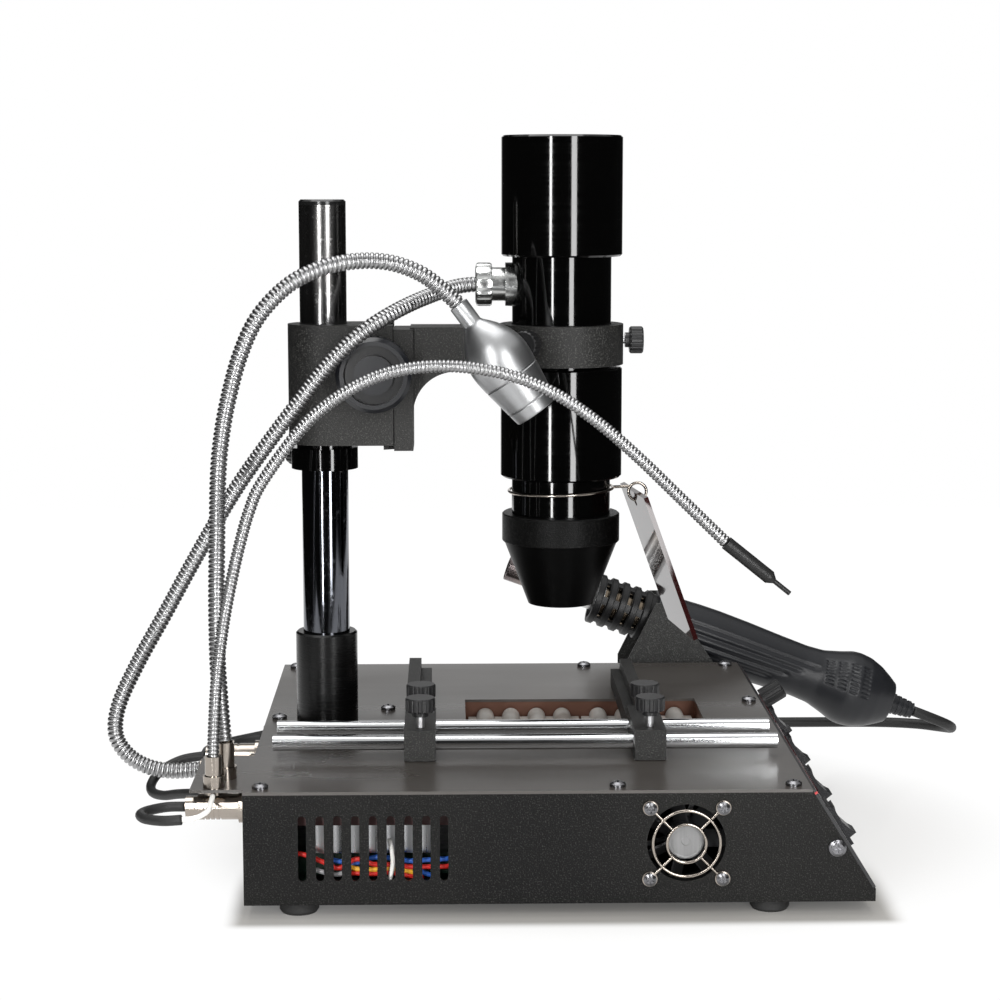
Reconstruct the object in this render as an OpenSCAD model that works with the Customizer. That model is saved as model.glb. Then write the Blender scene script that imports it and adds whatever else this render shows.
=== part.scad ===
// Infrared and hot-air rework station, in mm, +Z up.
// Chassis coordinates: x runs from the rear wall to the sloped front panel, y from the
// near side wall to the far one, z from the underside of the tray. stand() shifts them
// so that the part's frame has its origin at the middle of the footprint.

/* [Chassis] */
// Length of the tray along its bottom
base_length = 308; // [280:1:340]
// Length of the top plate
top_length = 277.5; // [250:0.5:300]
// Width of the base
base_width = 290; // [260:1:320]
// Height of the base without its feet
base_height = 56.5; // [48:0.5:70]
// Height of the front lip under the panel
lip_height = 6.4; // [4:0.1:9]
// Thickness of the sheet metal
sheet = 1.5; // [1:0.1:2.5]
// Diameter of a rubber foot
foot_diameter = 19.5; // [14:0.5:26]
// Height of a rubber foot
foot_height = 7; // [4:0.5:12]
// Diameter of a pan head
screw_head = 8; // [5:0.5:10]
// Number of vent slots in a side wall
slot_count = 9; // [4:1:12]
// Width of a vent slot
slot_width = 4; // [2:0.5:6]
// Distance between vent slots
slot_pitch = 8.6; // [7:0.1:12]

/* [Fan] */
// Side of the square fan frame
fan_side = 45; // [40:1:48]
// Depth of the fan frame
fan_depth = 15; // [10:1:25]
// Distance between the fan screws
fan_screw_pitch = 35.5; // [30:0.5:38]
// Diameter of the guard's wire
guard_wire = 1.5; // [1:0.1:2.5]

/* [Board clamp] */
// Diameter of the two clamp rods
rod_diameter = 8; // [6:0.5:10]
// Height of the rods above the top plate
rod_height = 8; // [6:0.5:10]
// Height of a jaw
jaw_height = 16; // [12:0.5:20]
// Width of a jaw's block
jaw_width = 16; // [12:0.5:20]
// Diameter of a jaw screw's head
jaw_screw_head = 15.3; // [10:0.1:18]

/* [Column] */
// Diameter of the column
column_diameter = 25; // [20:0.5:30]
// Top of the column above the tray's bottom
column_top = 336; // [300:1:380]
// Diameter of the socket
socket_diameter = 33.2; // [30:0.2:40]
// Height of the socket
socket_height = 50.6; // [40:0.2:60]
// Diameter of the stop collar
collar_diameter = 35.7; // [32:0.1:42]
// Height of the stop collar
collar_height = 11.4; // [8:0.2:16]

/* [Focus drive] */
// Radius of the carriage round the column
carriage_radius = 19; // [17:0.5:24]
// Height of the carriage
carriage_height = 63.5; // [50:0.5:75]
// Module of the rack and pinion
tooth_module = 0.8; // [0.6:0.1:1]
// Number of pinion teeth
pinion_teeth = 12; // [10:1:16]
// Diameter of the focus knobs
focus_knob_diameter = 39.5; // [30:0.5:45]

/* [Head] */
// Outer diameter of the clamp ring
ring_diameter = 66; // [62:0.5:72]
// Outer diameter of the head tube
tube_diameter = 53; // [48:0.5:58]
// Outer diameter of the upper sleeve
upper_sleeve = 64.5; // [58:0.5:70]
// Outer diameter of the lower sleeve
lower_sleeve = 65.1; // [58:0.1:70]
// Outer radius at the nozzle's mouth
nozzle_mouth = 17.5; // [14:0.5:22]
// Thickness of the shield plate
shield_thickness = 2.5; // [1.5:0.1:4]

/* [Necks and cords] */
// Diameter of the lamp's neck
lamp_neck_diameter = 8.3; // [7:0.1:10]
// Diameter of the probe's neck
probe_neck_diameter = 6; // [4:0.1:8]
// Diameter of the head's hose
hose_diameter = 8.3; // [7:0.1:10]
// Diameter of the gun's cord
gun_cord_diameter = 6.5; // [5:0.1:8]
// Diameter of the two black leads
lead_diameter = 5; // [3:0.1:6]

/* [Gun] */
// Slope of the resting gun
gun_slope = 20; // [10:1:30]
// Outer radius of the gun's nozzle
gun_nozzle_radius = 8; // [6:0.5:10]
// Outer radius of the gun's guard
gun_guard_radius = 15.8; // [13:0.1:18]

/* [Panel] */
// Diameter of the airflow knob
airflow_diameter = 12; // [9:0.5:16]
// Tilt of a rocker at rest
rocker_tilt = 8; // [5:1:10]

/* [Clearances] */
// Gap between a sliding or turning pair, on the radius
running_gap = 0.2; // [0.1:0.05:0.4]
// Gap between pieces that only stand next to each other
side_gap = 0.3; // [0.2:0.05:0.6]

/* [Hidden] */
$fn = 48;

black_paint = [0.06, 0.06, 0.065];
dark_plate = [0.12, 0.12, 0.13];
black_plastic = [0.05, 0.05, 0.06];
steel = [0.72, 0.73, 0.75];
aluminium = [0.8, 0.81, 0.82];
ceramic = [0.92, 0.91, 0.88];
rubber = [0.04, 0.04, 0.04];
red_plastic = [0.35, 0.03, 0.04];

rear_x = -183.8;
near_y = -172.3;

// Panel: s runs down the slope from the top plate's front edge, h out of the panel.
panel_run = base_length - top_length;
panel_drop = base_height - 7.5;
panel_slope = atan2(panel_drop, panel_run);
panel_length = norm([panel_run, panel_drop]);
plate_under = base_height - sheet;
inner_top = [top_length - sheet * sin(panel_slope), base_height - sheet * cos(panel_slope)];
lip_x = inner_top[0] + (inner_top[1] - lip_height) / tan(panel_slope);
plate_x = inner_top[0] + (inner_top[1] - plate_under) / tan(panel_slope);
plate_front = inner_top[0] - 0.05;
panel_screw_s = panel_length * 0.534;
panel_screw_in = 6;
panel_screw = [
  top_length + panel_screw_s * cos(panel_slope) - panel_screw_in * sin(panel_slope),
  base_height - panel_screw_s * sin(panel_slope) - panel_screw_in * cos(panel_slope)
];

// Vents and fan
slot_start = 28.5;
slot_low = 14;
slot_high = base_height - 14;
fan_x = 215;
fan_z = plate_under - sheet - fan_side / 2 - 0.9;
fan_hole = 19.2;

// Heater
window_low = [109, 96];
window_high = [239.5, 194];
heater_floor = plate_under - 17;
heater_gap = 2;
plate_width = (window_high[0] - window_low[0] - 2.75 * heater_gap) / 2;
plate_depth = window_high[1] - window_low[1] - 2 * heater_gap;
rib_pitch = plate_width * 0.232;

// Screws of the top cover
cover_screws = [
  [8, 8], [182, 8], [top_length - 9.5, 8], [8, base_width - 8], [182, base_width - 8],
  [top_length - 9.5, base_width - 8], [7, 152], [top_length - 7.5, 188], [66, 172]
];

// Board clamp
rod_z = base_height + rod_height;
rod_near = 65;
rod_far = 96;
jaw_bottom = base_height + side_gap;
jaw_top = base_height + jaw_height;
jaw_near = rod_near - 9.2;
jaw_far = rod_far + 10;
arm_start = rod_far + 9;
ledge_start = rod_far + 14;
ledge_drop = 6;
left_reach = 233;
right_reach = 228;
left_x = 85.3;
right_x = 202.6;

// Column and carriage
column_x = 33.7;
column_y = 145;
collar_z = 196.1;
carriage_z = 209.8;
carriage_front = 71;
pinion_x = 61.3;
pinion_z = 248.5;
pitch_radius = tooth_module * pinion_teeth / 2;
tooth_pitch = PI * tooth_module;
rack_x = pinion_x + pitch_radius;
rack_tip = 0.5;
rack_root = 0.85;
pinion_tip = 0.6;
pinion_root = 0.8;
tooth_share = 0.44;
collar_angle = 125;

// Head
head_x = 160.6;
arm_y = column_y;
ring_low = 251.7;
ring_high = 273.1;
screw_z = 264.3;
gland_z = 294;
gland_face = head_x - tube_diameter / 2;
tube_wall = 2.5;
tube_low = 160;
tube_top = 371;
upper_low = 309;
upper_top = 372.3;
lower_low = 191.3;
lower_top = 250.4;
vent_z = 362;
mouth_z = 122;
skirt_low = 156;
skirt_top = 171.4;
skirt_radius = 31.65;
wire_z = 184;
wire_ring = tube_diameter / 2 + 1.5;
wire_eye = wire_ring + 13.4;

// Necks
lamp_foot = [-11.2, 28, base_height + 18.5];
probe_foot = [-14.7, 11, base_height + 15.5];
lamp_end = [105, 72, 287.6];
lamp_lean = 143.7;
lamp_route = [
  lamp_foot, [-12, 29.5, 84], [-13, 31, 97], [-14, 32.5, 115], [-14.2, 34, 143],
  [-13.7, 37, 173], [-13, 40, 203], [-11.5, 43, 222], [-8, 46, 242], [-2, 50, 264],
  [6.5, 54, 282], [20.6, 58, 297], [36.7, 62, 305.5], [54, 66, 309],
  [71, 67.5, 308.3], [86, 69, 303], [97, 70.8, 295], lamp_end
];
probe_route = [
  probe_foot, [-14.3, 11, 82], [-12.6, 11, 107.5], [-9.3, 11, 132.6], [-5.6, 11, 152.6],
  [-0.5, 11, 174.5], [4.6, 11, 192], [11, 11, 206], [29, 11, 230.5], [43.7, 11, 244],
  [60.4, 11, 254], [77, 11, 259.5], [96, 11, 261.4], [115, 11, 260], [134, 11, 255.5],
  [153, 11, 247], [172.5, 11, 233.5], [191.7, 11, 216.7], [211, 11, 198], [233.6, 11, 176]
];
probe_lean = 128.8;

// Plugs on the rear wall: y and z
near_plug = [17, base_height - 11.5];
hose_plug = [84, base_height - 10.5];
far_plug = [112, base_height - 10.5];
cord_hole = [250, 20];
plug_end = -29;

// Cords: heights at the rear wall count from the top plate
function from_plate(route) = [for (p = route) [p[0], p[1], p[2] + base_height]];
hose_route = concat(
  from_plate([[plug_end - 0.3, 84, -10.5], [-45, 85, -11.5], [-58, 86.5, -9], [-68, 88, -2.5],
    [-73.5, 90, 7.5]]),
  [[-71.6, 92, 79], [-61.6, 94, 100.5], [-47, 95.5, 126.5], [-34, 96.5, 150], [-21, 97, 172.5],
    [-8, 97, 193.5], [7, 97, 214.5], [22.6, 97, 235], [38, 97, 254.5], [53, 98.5, 269],
    [66, 103.5, 278], [80, 115, 285], [94, 130, 290], [105, 141, 293],
    [gland_face - 19.1, column_y, gland_z], [gland_face - 13.1, column_y, gland_z]]);
probe_lead_route = from_plate([
  [plug_end - 0.3, 17, -11.5], [-38, 16.5, -11.5], [-46, 10, -11.3], [-49, 0, -10.5],
  [-45, -11, -9.5], [-36, -18, -8.5], [-27, -20, -7.5]
]);
probe_wire_route = from_plate([
  [-26.7, -20, -7.4], [-20, -18.5, -6.9], [-15.5, -12, -5.7], [-14.8, -4, -4.2],
  [-14.7, 5.4, -3.1]
]);
lamp_lead_route = from_plate([
  [plug_end - 0.3, 112, -10.5], [-42, 111.5, -12.5], [-52, 105, -16.5], [-56, 94, -20.5],
  [-54, 82, -22], [-47, 70, -20.5], [-38, 58, -16.5], [-29, 46, -13], [-20, 35.5, -10.5],
  [-13, 29, -8], [-11.2, 28, -3.8]
]);
// The gun's cord lies on the bench behind the base. Its spare length is a flat coil of two turns.
cord_z = gun_cord_diameter / 2 - foot_height + 0.05;
coil_radius = 5.54 * gun_cord_diameter;
coil_outer = coil_radius + 1.5 * gun_cord_diameter;
coil_at = [62, base_width + coil_outer + 3.2];
coil_in = coil_at[1] + coil_radius + gun_cord_diameter;
coil_out = coil_at[1] + coil_radius - gun_cord_diameter;
coil_top = cord_z + gun_cord_diameter - 0.1;
gun_side = base_width + 35;
cord_to_coil = [
  [392.9, gun_side, 17], [404, gun_side + 1, 12.5], [416, gun_side + 7, 6.5],
  [422, gun_side + 20, 1], [419, gun_side + 37, cord_z + 1.2], [405, gun_side + 50, cord_z + 0.1],
  [380, coil_in - 1, cord_z], [330, coil_in, cord_z], [270, coil_in, cord_z],
  [200, coil_in, cord_z], [140, coil_in, cord_z], [coil_at[0] + 20, coil_in, cord_z]
];
cord_from_coil = [
  [coil_at[0], coil_out, coil_top], [42, coil_out, coil_top], [20, coil_out - 1, coil_top],
  [0, coil_out - 6, cord_z + 2.2], [-22, coil_out - 17, cord_z], [-40, coil_out - 34, cord_z],
  [-50, 315, cord_z + 0.5], [-47, 285, 1], [-36, cord_hole[0] + 13, 10],
  [-22, cord_hole[0] + 2, 18], [-11, cord_hole[0], cord_hole[1]]
];

// Gun: t runs along its axis from the nozzle's tip
gun_tip = [136.7, gun_side, 110.2];
cradle_y = 21;
cradle_floor = 36;
holder_sheet = 1.5;
holder_low = 14;
holder_rear = 207.5;
holder_front = 266;
holder_shoulder = 50;
holder_peak = 91;
holder_screws = [224, 246];
holder_screw_z = 26;
mains_y = 200;
mains_z = 32;

rocker_places = [34, base_width - 185.5, base_width - 114, base_width - 46];
rocker_s = 31;
display_places = [69, 140, 210];
display_s = 13;
airflow_y = 232;
airflow_s = 11.5;

function unit(v) = v / norm(v);
function curve(a, b, c, d, t) =
  0.5 * (2 * b + (c - a) * t + (2 * a - 5 * b + 4 * c - d) * t * t
  + (3 * b - a - 3 * c + d) * t * t * t);
function pick(p, i) = p[min(max(i, 0), len(p) - 1)];
function smooth_route(p, n) = concat(
  [for (i = [0:len(p) - 2]) for (k = [0:n - 1])
    curve(pick(p, i - 1), p[i], p[i + 1], pick(p, i + 2), k / n)],
  [p[len(p) - 1]]);
function heading(p, i) = unit(pick(p, i + 1) - pick(p, i - 1));
function side_of(p, i) = i == 0
  ? unit(cross(heading(p, 0), abs(heading(p, 0)[1]) > 0.9 ? [1, 0, 0] : [0, 1, 0]))
  : let (last = side_of(p, i - 1), h = heading(p, i)) unit(last - (last * h) * h);
function ring(c, u, w, r, n) =
  [for (j = [0:n - 1]) c + r * (cos(360 * j / n) * u + sin(360 * j / n) * w)];
function tube_faces(rings, n) = concat(
  [[for (j = [0:n - 1]) j]],
  [for (i = [0:rings - 2]) for (j = [0:n - 1])
    [i * n + j, (i + 1) * n + j, (i + 1) * n + (j + 1) % n]],
  [for (i = [0:rings - 2]) for (j = [0:n - 1])
    [i * n + j, (i + 1) * n + (j + 1) % n, i * n + (j + 1) % n]],
  [[for (j = [n - 1:-1:0]) (rings - 1) * n + j]]);
// Radius of a pinion flank point, and the angle of the involute there
base_radius = pitch_radius * cos(20);
function flank_angle(r) = r <= base_radius ? 0
  : let (a = acos(base_radius / r)) tan(a) * 180 / PI - a;
tooth_half = 360 * tooth_share / pinion_teeth / 2;
function flank(r, side) = side * (tooth_half + flank_angle(pitch_radius) - flank_angle(r));

module stand() {
  translate([rear_x, near_y, foot_height]) children();
}

module tube_along(route, diameter, steps, sides) {
  path = smooth_route(route, steps);
  points = [for (i = [0:len(path) - 1])
    let (u = side_of(path, i), w = cross(heading(path, i), u))
    each ring(path[i], u, w, diameter / 2, sides)];
  polyhedron(points, tube_faces(len(path), sides), convexity = 8);
}

// A neck is a tube whose foot ends in half a ball, so that it can tilt in its ferrule.
module neck_along(route, diameter, steps, sides) {
  path = smooth_route(route, steps);
  u0 = side_of(path, 0);
  h0 = heading(path, 0);
  w0 = cross(h0, u0);
  ball = [for (a = [75, 50, 25])
    each ring(path[0] - h0 * diameter / 2 * sin(a), u0, w0, diameter / 2 * cos(a), sides)];
  points = [for (i = [0:len(path) - 1])
    let (u = side_of(path, i), w = cross(heading(path, i), u))
    each ring(path[i], u, w, diameter / 2, sides)];
  polyhedron(concat(ball, points), tube_faces(len(path) + 3, sides), convexity = 8);
}

module on_panel() {
  translate([top_length, 0, base_height]) rotate([0, panel_slope, 0]) children();
}

module on_gun() {
  translate(gun_tip) rotate([0, 90 + gun_slope, 0]) children();
}

module along_x(x0, x1, y, z, r) {
  translate([x0, y, z]) rotate([0, 90, 0]) cylinder(r = r, h = x1 - x0);
}

module along_y(x, y0, y1, z, r) {
  translate([x, y0, z]) rotate([-90, 0, 0]) cylinder(r = r, h = y1 - y0);
}

module vent_slots(y0) {
  for (i = [0:slot_count - 1]) {
    x = slot_start + i * slot_pitch;
    along_y(x, y0, y0 + 4, slot_low, slot_width / 2);
    along_y(x, y0, y0 + 4, slot_high, slot_width / 2);
    translate([x - slot_width / 2, y0, slot_low])
      cube([slot_width, 4, slot_high - slot_low]);
  }
}

module fan_corners() {
  for (dx = [-1, 1]) for (dz = [-1, 1])
    translate([fan_x + dx * fan_screw_pitch / 2, 0, fan_z + dz * fan_screw_pitch / 2])
      children();
}

module wall_shape() {
  rotate([90, 0, 0]) translate([0, 0, -sheet]) linear_extrude(sheet)
    polygon([[0, 0], [base_length, 0], [base_length, lip_height], [lip_x, lip_height],
      [plate_x, plate_under], [0, plate_under]]);
}

module bottom_tray() {
  color(black_paint) stand() difference() {
    union() {
      cube([base_length, base_width, sheet]);
      wall_shape();
      translate([0, base_width - sheet, 0]) wall_shape();
      translate([base_length - sheet, 0, 0]) cube([sheet, base_width, lip_height]);
      for (y = [sheet, base_width - sheet - 9])
        translate([4, y, plate_under - sheet]) cube([top_length - 9.5, 9, sheet]);
    }
    vent_slots(-1);
    vent_slots(base_width - 2);
    along_y(fan_x, -1, 3, fan_z, fan_hole);
    fan_corners() along_y(0, -1, 3, 0, 2);
    along_y(panel_screw[0], -1, base_width + 1, panel_screw[1], 1.7);
    for (p = cover_screws)
      translate([p[0], p[1], plate_under - 5]) cylinder(r = 1.7, h = 10);
    for (x = holder_screws)
      along_y(x, base_width - 4, base_width + 1, holder_screw_z, 1.7);
  }
}

module top_cover() {
  color(dark_plate) stand() difference() {
    union() {
      translate([0, 0, plate_under]) cube([plate_front, base_width, sheet]);
      translate([-26, 5, plate_under]) cube([26.5, 65, sheet]);
      translate([0, sheet, sheet]) cube([sheet, base_width - 2 * sheet, plate_under - sheet]);
    }
    translate([window_low[0], window_low[1], plate_under - 1])
      cube([window_high[0] - window_low[0], window_high[1] - window_low[1], sheet + 2]);
    for (p = cover_screws)
      translate([p[0], p[1], plate_under - 1]) cylinder(r = 1.7, h = 10);
    for (p = [near_plug, hose_plug, far_plug])
      along_x(-1, 3, p[0], p[1], 5);
    along_x(-1, 3, cord_hole[0], cord_hole[1], 5);
    translate([-1, mains_y - 14, mains_z - 10]) cube([4, 28, 20]);
    for (p = [lamp_foot, probe_foot])
      translate([p[0], p[1], plate_under - 1]) cylinder(r = 2.2, h = sheet + 2);
  }
}

module control_panel() {
  color(black_paint) stand() difference() {
    union() {
      on_panel() translate([0, 0, -sheet]) cube([panel_length, base_width, sheet]);
      on_panel() for (y = [sheet + 0.2, base_width - 2 * sheet - 0.2])
        translate([panel_screw_s - 8, y, -11]) cube([16, sheet, 11 - sheet / 2]);
    }
    on_panel() for (y = rocker_places)
      translate([rocker_s - 10.3, y - 7.1, -3]) cube([20.6, 14.2, 6]);
    on_panel() for (y = display_places)
      translate([display_s - 7.1, y - 15.1, -3]) cube([14.2, 30.2, 6]);
    on_panel() translate([airflow_s, airflow_y, -3]) cylinder(r = 3.4, h = 6);
    along_y(panel_screw[0], -1, base_width + 1, panel_screw[1], 1.7);
  }
}

module rubber_feet() {
  color(rubber) stand() for (x = [26, base_length - 50]) for (y = [14, base_width - 14])
    translate([x, y, -foot_height]) difference() {
      union() {
        cylinder(d1 = foot_diameter - 2, d2 = foot_diameter, h = 1.5);
        translate([0, 0, 1.5]) cylinder(d = foot_diameter, h = foot_height - 1.5);
      }
      translate([0, 0, -1]) cylinder(d = 7, h = 4);
    }
}

module pan_screw(length, head, shank) {
  difference() {
    union() {
      translate([0, 0, -length]) cylinder(r = shank, h = length + 0.5);
      cylinder(d = head, h = 1.4);
      translate([0, 0, 1.4]) cylinder(d1 = head, d2 = head - 3, h = 1);
    }
    translate([-1.9, -0.45, 1.3]) cube([3.8, 0.9, 2]);
    translate([-0.45, -1.9, 1.3]) cube([0.9, 3.8, 2]);
  }
}

module chassis_screws() {
  color(steel) stand() {
    for (p = cover_screws)
      translate([p[0], p[1], base_height]) pan_screw(5, screw_head, 1.5);
    fan_corners() translate([0, -guard_wire, 0]) rotate([90, 0, 0]) pan_screw(12, 6.4, 1.8);
    translate([panel_screw[0], 0, panel_screw[1]]) rotate([90, 0, 0]) pan_screw(5, 8.5, 1.5);
    translate([panel_screw[0], base_width, panel_screw[1]]) rotate([-90, 0, 0])
      pan_screw(5, 8.5, 1.5);
    for (x = holder_screws)
      translate([x, base_width + holder_sheet, holder_screw_z]) rotate([-90, 0, 0]) pan_screw(5, 6.4, 1.5);
  }
}

module fan_frame() {
  y0 = sheet + 0.1;
  color(black_plastic) stand() difference() {
    union() {
      difference() {
        translate([fan_x - fan_side / 2, y0, fan_z - fan_side / 2])
          cube([fan_side, fan_depth, fan_side]);
        along_y(fan_x, y0 - 1, y0 + fan_depth + 1, fan_z, 20.6);
      }
      along_y(fan_x, y0 + fan_depth - 1.6, y0 + fan_depth, fan_z, 9);
      for (a = [45, 165, 285])
        translate([fan_x, y0 + fan_depth - 1.6, fan_z]) rotate([0, a, 0])
          translate([7, 0, -1.2]) cube([15, 1.6, 2.4]);
    }
    fan_corners() along_y(0, y0 - 1, y0 + fan_depth + 1, 0, 2);
    along_y(fan_x, 0, 40, fan_z, 1.7);
  }
}

module fan_rotor() {
  y0 = sheet + 0.1;
  color(black_plastic) stand() {
    difference() {
      along_y(fan_x, y0 + 1.2, y0 + fan_depth - 2.4, fan_z, 9);
      along_y(fan_x, y0 + 4, y0 + fan_depth, fan_z, 7.6);
    }
    along_y(fan_x, y0 + 3, y0 + fan_depth - 0.4, fan_z, 1.5);
    for (i = [0:6])
      translate([fan_x, y0 + 6.6, fan_z]) rotate([0, i * 360 / 7, 0])
        translate([8.4, 0, 0]) rotate([38, 0, 0]) translate([0, -5, -0.5]) cube([11.2, 10, 1]);
  }
}

module guard_ring(r) {
  translate([fan_x, -1.6, fan_z]) rotate([90, 0, 0]) rotate_extrude()
    translate([r, 0]) circle(d = guard_wire, $fn = 24);
}

module fan_guard() {
  color(steel) stand() difference() {
    union() {
      guard_ring(16.4);
      guard_ring(9.5);
      for (a = [45, 135, 225, 315])
        translate([fan_x, -0.76, fan_z]) rotate([0, a, 0])
          along_x(9, fan_screw_pitch * 0.7071 - 2.4, 0, 0, guard_wire / 2);
      fan_corners() along_y(0, -guard_wire, 0, 0, 3.7);
    }
    fan_corners() along_y(0, -5, 5, 0, 1.95);
  }
}

module heater_tray() {
  low = [window_low[0] - 1.5, window_low[1] - 1.5];
  size = [window_high[0] - window_low[0] + 3, window_high[1] - window_low[1] + 3];
  color([0.45, 0.26, 0.16]) stand() difference() {
    translate([low[0], low[1], heater_floor]) cube([size[0], size[1], plate_under - heater_floor]);
    translate([low[0] + 1, low[1] + 1, heater_floor + 1]) cube([size[0] - 2, size[1] - 2, 30]);
  }
}

module heater_plates() {
  color(ceramic) stand() for (k = [0, 1])
    translate([window_low[0] + heater_gap + k * (plate_width + 0.75 * heater_gap),
      window_low[1] + heater_gap, heater_floor + 1]) {
      cube([plate_width, plate_depth, 8]);
      for (i = [0:3])
        translate([rib_pitch * (0.655 + i), 0, 8]) rotate([-90, 0, 0]) intersection() {
          cylinder(r = 5, h = plate_depth);
          translate([-6, -6, 0]) cube([12, 6.5, plate_depth]);
        }
    }
}

module control_board() {
  color([0.1, 0.25, 0.14]) stand() {
    translate([20, 24, 8]) cube([84, 110, 1.6]);
    for (x = [26, 96]) for (y = [30, 126])
      translate([x, y, sheet]) cylinder(r = 3, h = 8 - sheet);
    translate([22, 26, 9.6]) cube([80, 7, 8.4]);
    translate([30, 40, 9.6]) cube([40, 48, 34]);
    translate([78, 34, 9.6]) cube([16, 60, 24]);
    translate([34, 102, 9.6]) cylinder(r = 9, h = 22);
    translate([58, 104, 9.6]) cylinder(r = 7, h = 18);
  }
}

module wire_harness() {
  color([0.7, 0.1, 0.1]) stand() {
    tube_along([[28, 25.2, 14], [28, 20, 14.3], [26, 14, 24], [40, 9, 31], [62, 8, 27],
      [84, 9, 33], [98, 16, 24], [98, 20, 14.3], [98, 25.2, 14]], 3, 3, 8);
    tube_along([[40, 25.2, 14], [40, 20, 14.3], [34, 17, 30], [44, 14, 38], [62, 12.5, 21],
      [80, 14, 17], [88, 20, 14.3], [88, 25.2, 14]], 3, 3, 8);
    tube_along([[52, 25.2, 14], [52, 20, 14.3], [50, 19, 24], [58, 17, 36], [72, 18, 41],
      [84, 18.5, 38], [80, 20, 24], [76, 20, 14.3], [76, 25.2, 14]], 3, 3, 8);
  }
}

module column_socket() {
  color(black_paint) stand() translate([column_x, column_y, base_height]) difference() {
    union() {
      cylinder(d = socket_diameter, h = socket_height - 1);
      translate([0, 0, socket_height - 1])
        cylinder(d1 = socket_diameter, d2 = socket_diameter - 2, h = 1);
    }
    translate([0, 0, -1]) cylinder(d = column_diameter + 0.1, h = socket_height + 2);
  }
}

// The column with the plastic cap that closes its top
module column() {
  stand() translate([column_x, column_y, 0]) {
    color(steel) translate([0, 0, base_height]) difference() {
      cylinder(d = column_diameter, h = column_top - base_height);
      translate([0, 0, -1]) cylinder(d = column_diameter - 4, h = column_top);
    }
    color(black_plastic) translate([0, 0, column_top]) {
      translate([0, 0, 0.02]) cylinder(d = column_diameter, h = 1.8);
      translate([0, 0, 1.8]) cylinder(d1 = column_diameter, d2 = column_diameter - 2, h = 1);
      translate([0, 0, -10]) cylinder(d = column_diameter - 4.2, h = 10.1);
    }
  }
}

module switch_bezels() {
  color(black_plastic) stand() on_panel() for (y = rocker_places) translate([rocker_s, y, 0])
    difference() {
      union() {
        translate([-11.5, -8.5, 0]) cube([23, 17, 1.8]);
        translate([-10.2, -7, -13]) cube([20.4, 14, 13.1]);
      }
      translate([-9.5, -6.3, -11.8]) cube([19, 12.6, 20]);
      along_y(0, -7, 7, 0, 1.4);
    }
}

module rocker(i) {
  color(black_plastic) stand() on_panel() translate([rocker_s, rocker_places[i], 0])
    rotate([0, -rocker_tilt, 0]) {
      rotate([90, 0, 0]) translate([0, 0, -5.9]) linear_extrude(11.8)
        polygon([[-8.8, 4.6], [-6, 3.4], [0, 2.5], [6, 3.4], [8.8, 4.6], [8.8, 0], [5, -5],
          [-5, -5], [-8.8, 0]]);
      along_y(0, -6.8, 6.8, 0, 1.15);
    }
}

module rocker_1() { rocker(0); }
module rocker_2() { rocker(1); }
module rocker_3() { rocker(2); }
module rocker_4() { rocker(3); }

module display_windows() {
  color([0.18, 0.02, 0.03]) stand() on_panel() for (y = display_places)
    translate([display_s - 7, y - 15, -4]) cube([14, 30, 4.5]);
}

module airflow_knob() {
  color(black_plastic) stand() on_panel() translate([airflow_s, airflow_y, 0]) difference() {
    union() {
      translate([0, 0, -9]) cylinder(r = 3, h = 10);
      translate([0, 0, 0.5]) cylinder(d = airflow_diameter, h = 12.5);
      translate([0, 0, 13]) cylinder(d1 = airflow_diameter, d2 = airflow_diameter - 2, h = 1);
    }
    for (a = [0:30:330])
      rotate([0, 0, a]) translate([airflow_diameter / 2 + 0.4, 0, 2]) cylinder(r = 0.9, h = 20);
    translate([0, -0.4, 13.4]) cube([9, 0.8, 2]);
  }
}

module mains_inlet() {
  color(black_plastic) stand() difference() {
    union() {
      translate([-2, mains_y - 17, mains_z - 13]) cube([2, 34, 26]);
      translate([-0.5, mains_y - 13.8, mains_z - 9.8]) cube([20, 27.6, 19.6]);
    }
    translate([-3, mains_y - 12, mains_z - 8]) cube([18, 24, 16]);
  }
  color(steel) stand() for (k = [-1:1])
    translate([3, mains_y + 7 * k - 1, mains_z + (k == 0 ? 1 : -4)]) cube([12.2, 2, 4]);
}

module rear_sockets() {
  color(steel) stand() {
    for (p = [near_plug, hose_plug, far_plug]) difference() {
      union() {
        along_x(-3, 0, p[0], p[1], 8);
        along_x(-0.5, 12, p[0], p[1], 4.9);
        translate([2.2, p[0], p[1]]) rotate([0, 90, 0]) cylinder(r = 8, h = 3, $fn = 6);
      }
      along_x(-5, 6, p[0], p[1], 3.4);
    }
    difference() {
      union() {
        along_x(-10, 0, cord_hole[0], cord_hole[1], 8);
        along_x(-0.5, 12, cord_hole[0], cord_hole[1], 4.9);
      }
      along_x(-15, 15, cord_hole[0], cord_hole[1], gun_cord_diameter / 2 + 0.3);
    }
  }
}

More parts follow.
